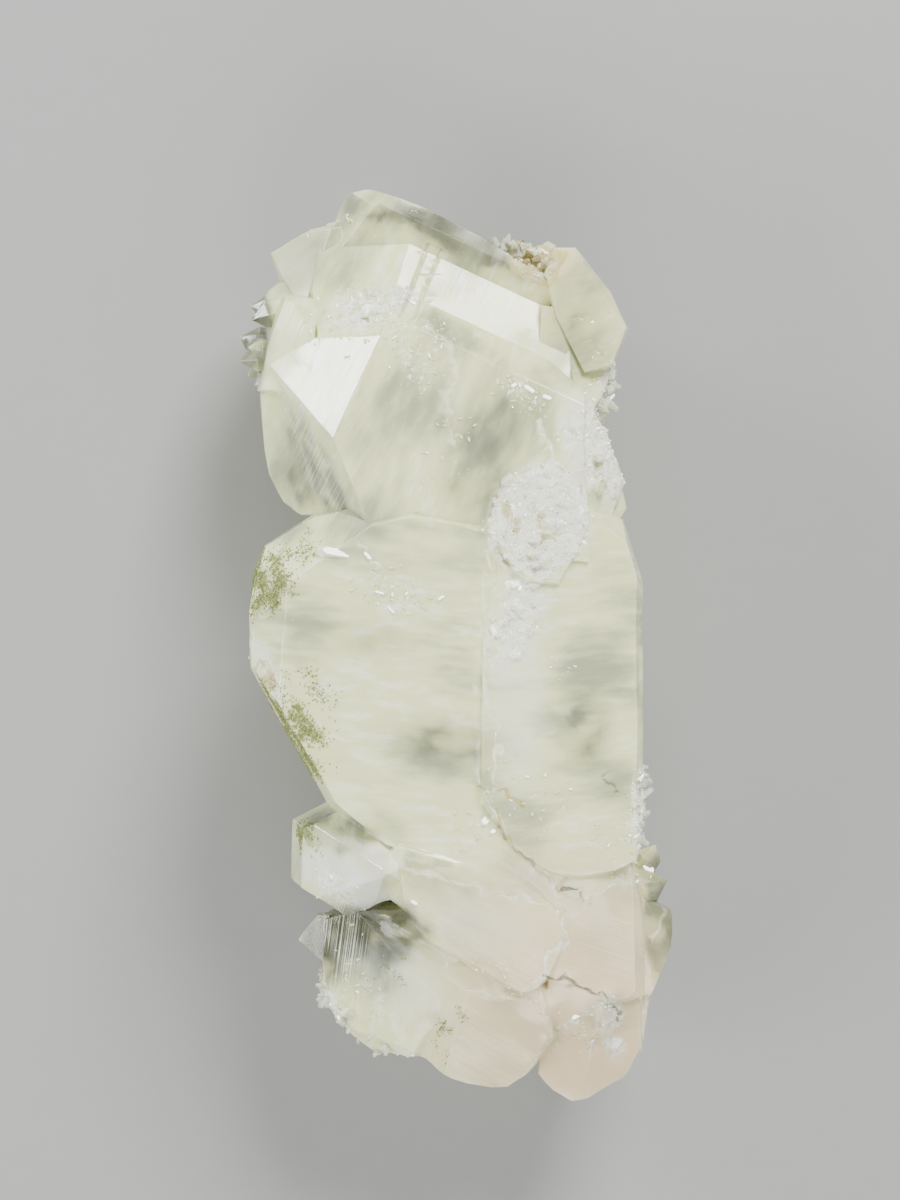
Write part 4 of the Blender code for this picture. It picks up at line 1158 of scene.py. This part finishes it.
class QUARTZ_OT_chlorite(bpy.types.Operator):
    """Strew fine green chlorite grains over the stained places"""

    bl_idname = "quartz.chlorite"
    bl_label = "Chlorite Grains"

    def execute(self, context):
        material = chlorite_finish(context.scene.quartz_colours.chlorite)
        strewn_grains("chlorite_grains", "green", "chlorite", 1, {"Least": 0.40}, material)
        return {"FINISHED"}


def soft_lamp(name, direction, distance, width, power, colour, aim):
    data = bpy.data.lights.new(name, "AREA")
    data.shape = "DISK"
    data.size = width
    data.energy = power
    data.color = colour
    lamp = new_object(name, data)
    lamp.location = aim + Vector(direction).normalized() * distance
    lamp.rotation_euler = (lamp.location - aim).to_track_quat("Z", "Y").to_euler()


class QUARTZ_OT_stage(bpy.types.Operator):
    """Set out a pale table, soft lamps and the camera that looks straight down"""

    bl_idname = "quartz.stage"
    bl_label = "Stage"

    def execute(self, context):
        stage = context.scene.quartz_stage
        work = bmesh.new()
        bmesh.ops.create_grid(work, x_segments=8, y_segments=8, size=HALF_TABLE)
        mesh = bpy.data.meshes.new("table")
        work.to_mesh(mesh)
        work.free()
        table = new_object("table", mesh)
        table.data.materials.append(floor_finish(stage.floor))

        faces = Vector(FACES) * MM
        for name, (direction, distance, width, setting, part, colour) in LAMPS.items():
            power = part * getattr(stage, setting)
            soft_lamp(name, direction, distance, width, power, colour, faces)

        world = bpy.data.worlds.new("soft_light")
        world.use_nodes = True
        sky = world.node_tree.nodes["Background"]
        sky.inputs["Color"].default_value = opaque(SKY)
        sky.inputs["Strength"].default_value = stage.fill
        context.scene.world = world

        data = bpy.data.cameras.new("camera")
        data.sensor_fit = "VERTICAL"
        data.angle = 2.0 * math.atan(0.5 * SEEN_HEIGHT * MM / stage.distance)
        data.dof.use_dof = False
        data.clip_start = 10.0 * MM
        camera = new_object("camera", data)
        camera.location = faces + Vector((0.0, 0.0, stage.distance))
        context.scene.camera = camera
        return {"FINISHED"}


class QUARTZ_PT_panel(bpy.types.Panel):
    """Lists the pieces of the specimen and their sizes and colours"""

    bl_idname = "QUARTZ_PT_panel"
    bl_label = "Quartz Specimen"
    bl_space_type = "VIEW_3D"
    bl_region_type = "UI"
    bl_category = "Quartz"

    def draw(self, context):
        for setting, kind in GROUPS.items():
            box = self.layout.box()
            box.label(text=setting.replace("_", " ").capitalize())
            for name in kind.__annotations__:
                box.prop(getattr(context.scene, setting), name)
        for piece in PIECES:
            self.layout.operator(piece.bl_idname)


PIECES = (QUARTZ_OT_body, QUARTZ_OT_grains, QUARTZ_OT_ledges, QUARTZ_OT_chlorite, QUARTZ_OT_stage)
GROUPS = {"quartz_sizes": QuartzSizes, "quartz_colours": QuartzColours, "quartz_stage": QuartzStage}


def register():
    for group in GROUPS.values():
        bpy.utils.register_class(group)
    for name, group in GROUPS.items():
        setattr(bpy.types.Scene, name, PointerProperty(type=group))
    for piece in (*PIECES, QUARTZ_PT_panel):
        bpy.utils.register_class(piece)


def unregister():
    for piece in (QUARTZ_PT_panel, *reversed(PIECES)):
        bpy.utils.unregister_class(piece)
    for name, group in GROUPS.items():
        delattr(bpy.types.Scene, name)
        bpy.utils.unregister_class(group)


def main():
    register()
    bpy.ops.quartz.body()
    bpy.ops.quartz.grains()
    bpy.ops.quartz.ledges()
    bpy.ops.quartz.chlorite()
    bpy.ops.quartz.stage()


if __name__ == "__main__":
    main()
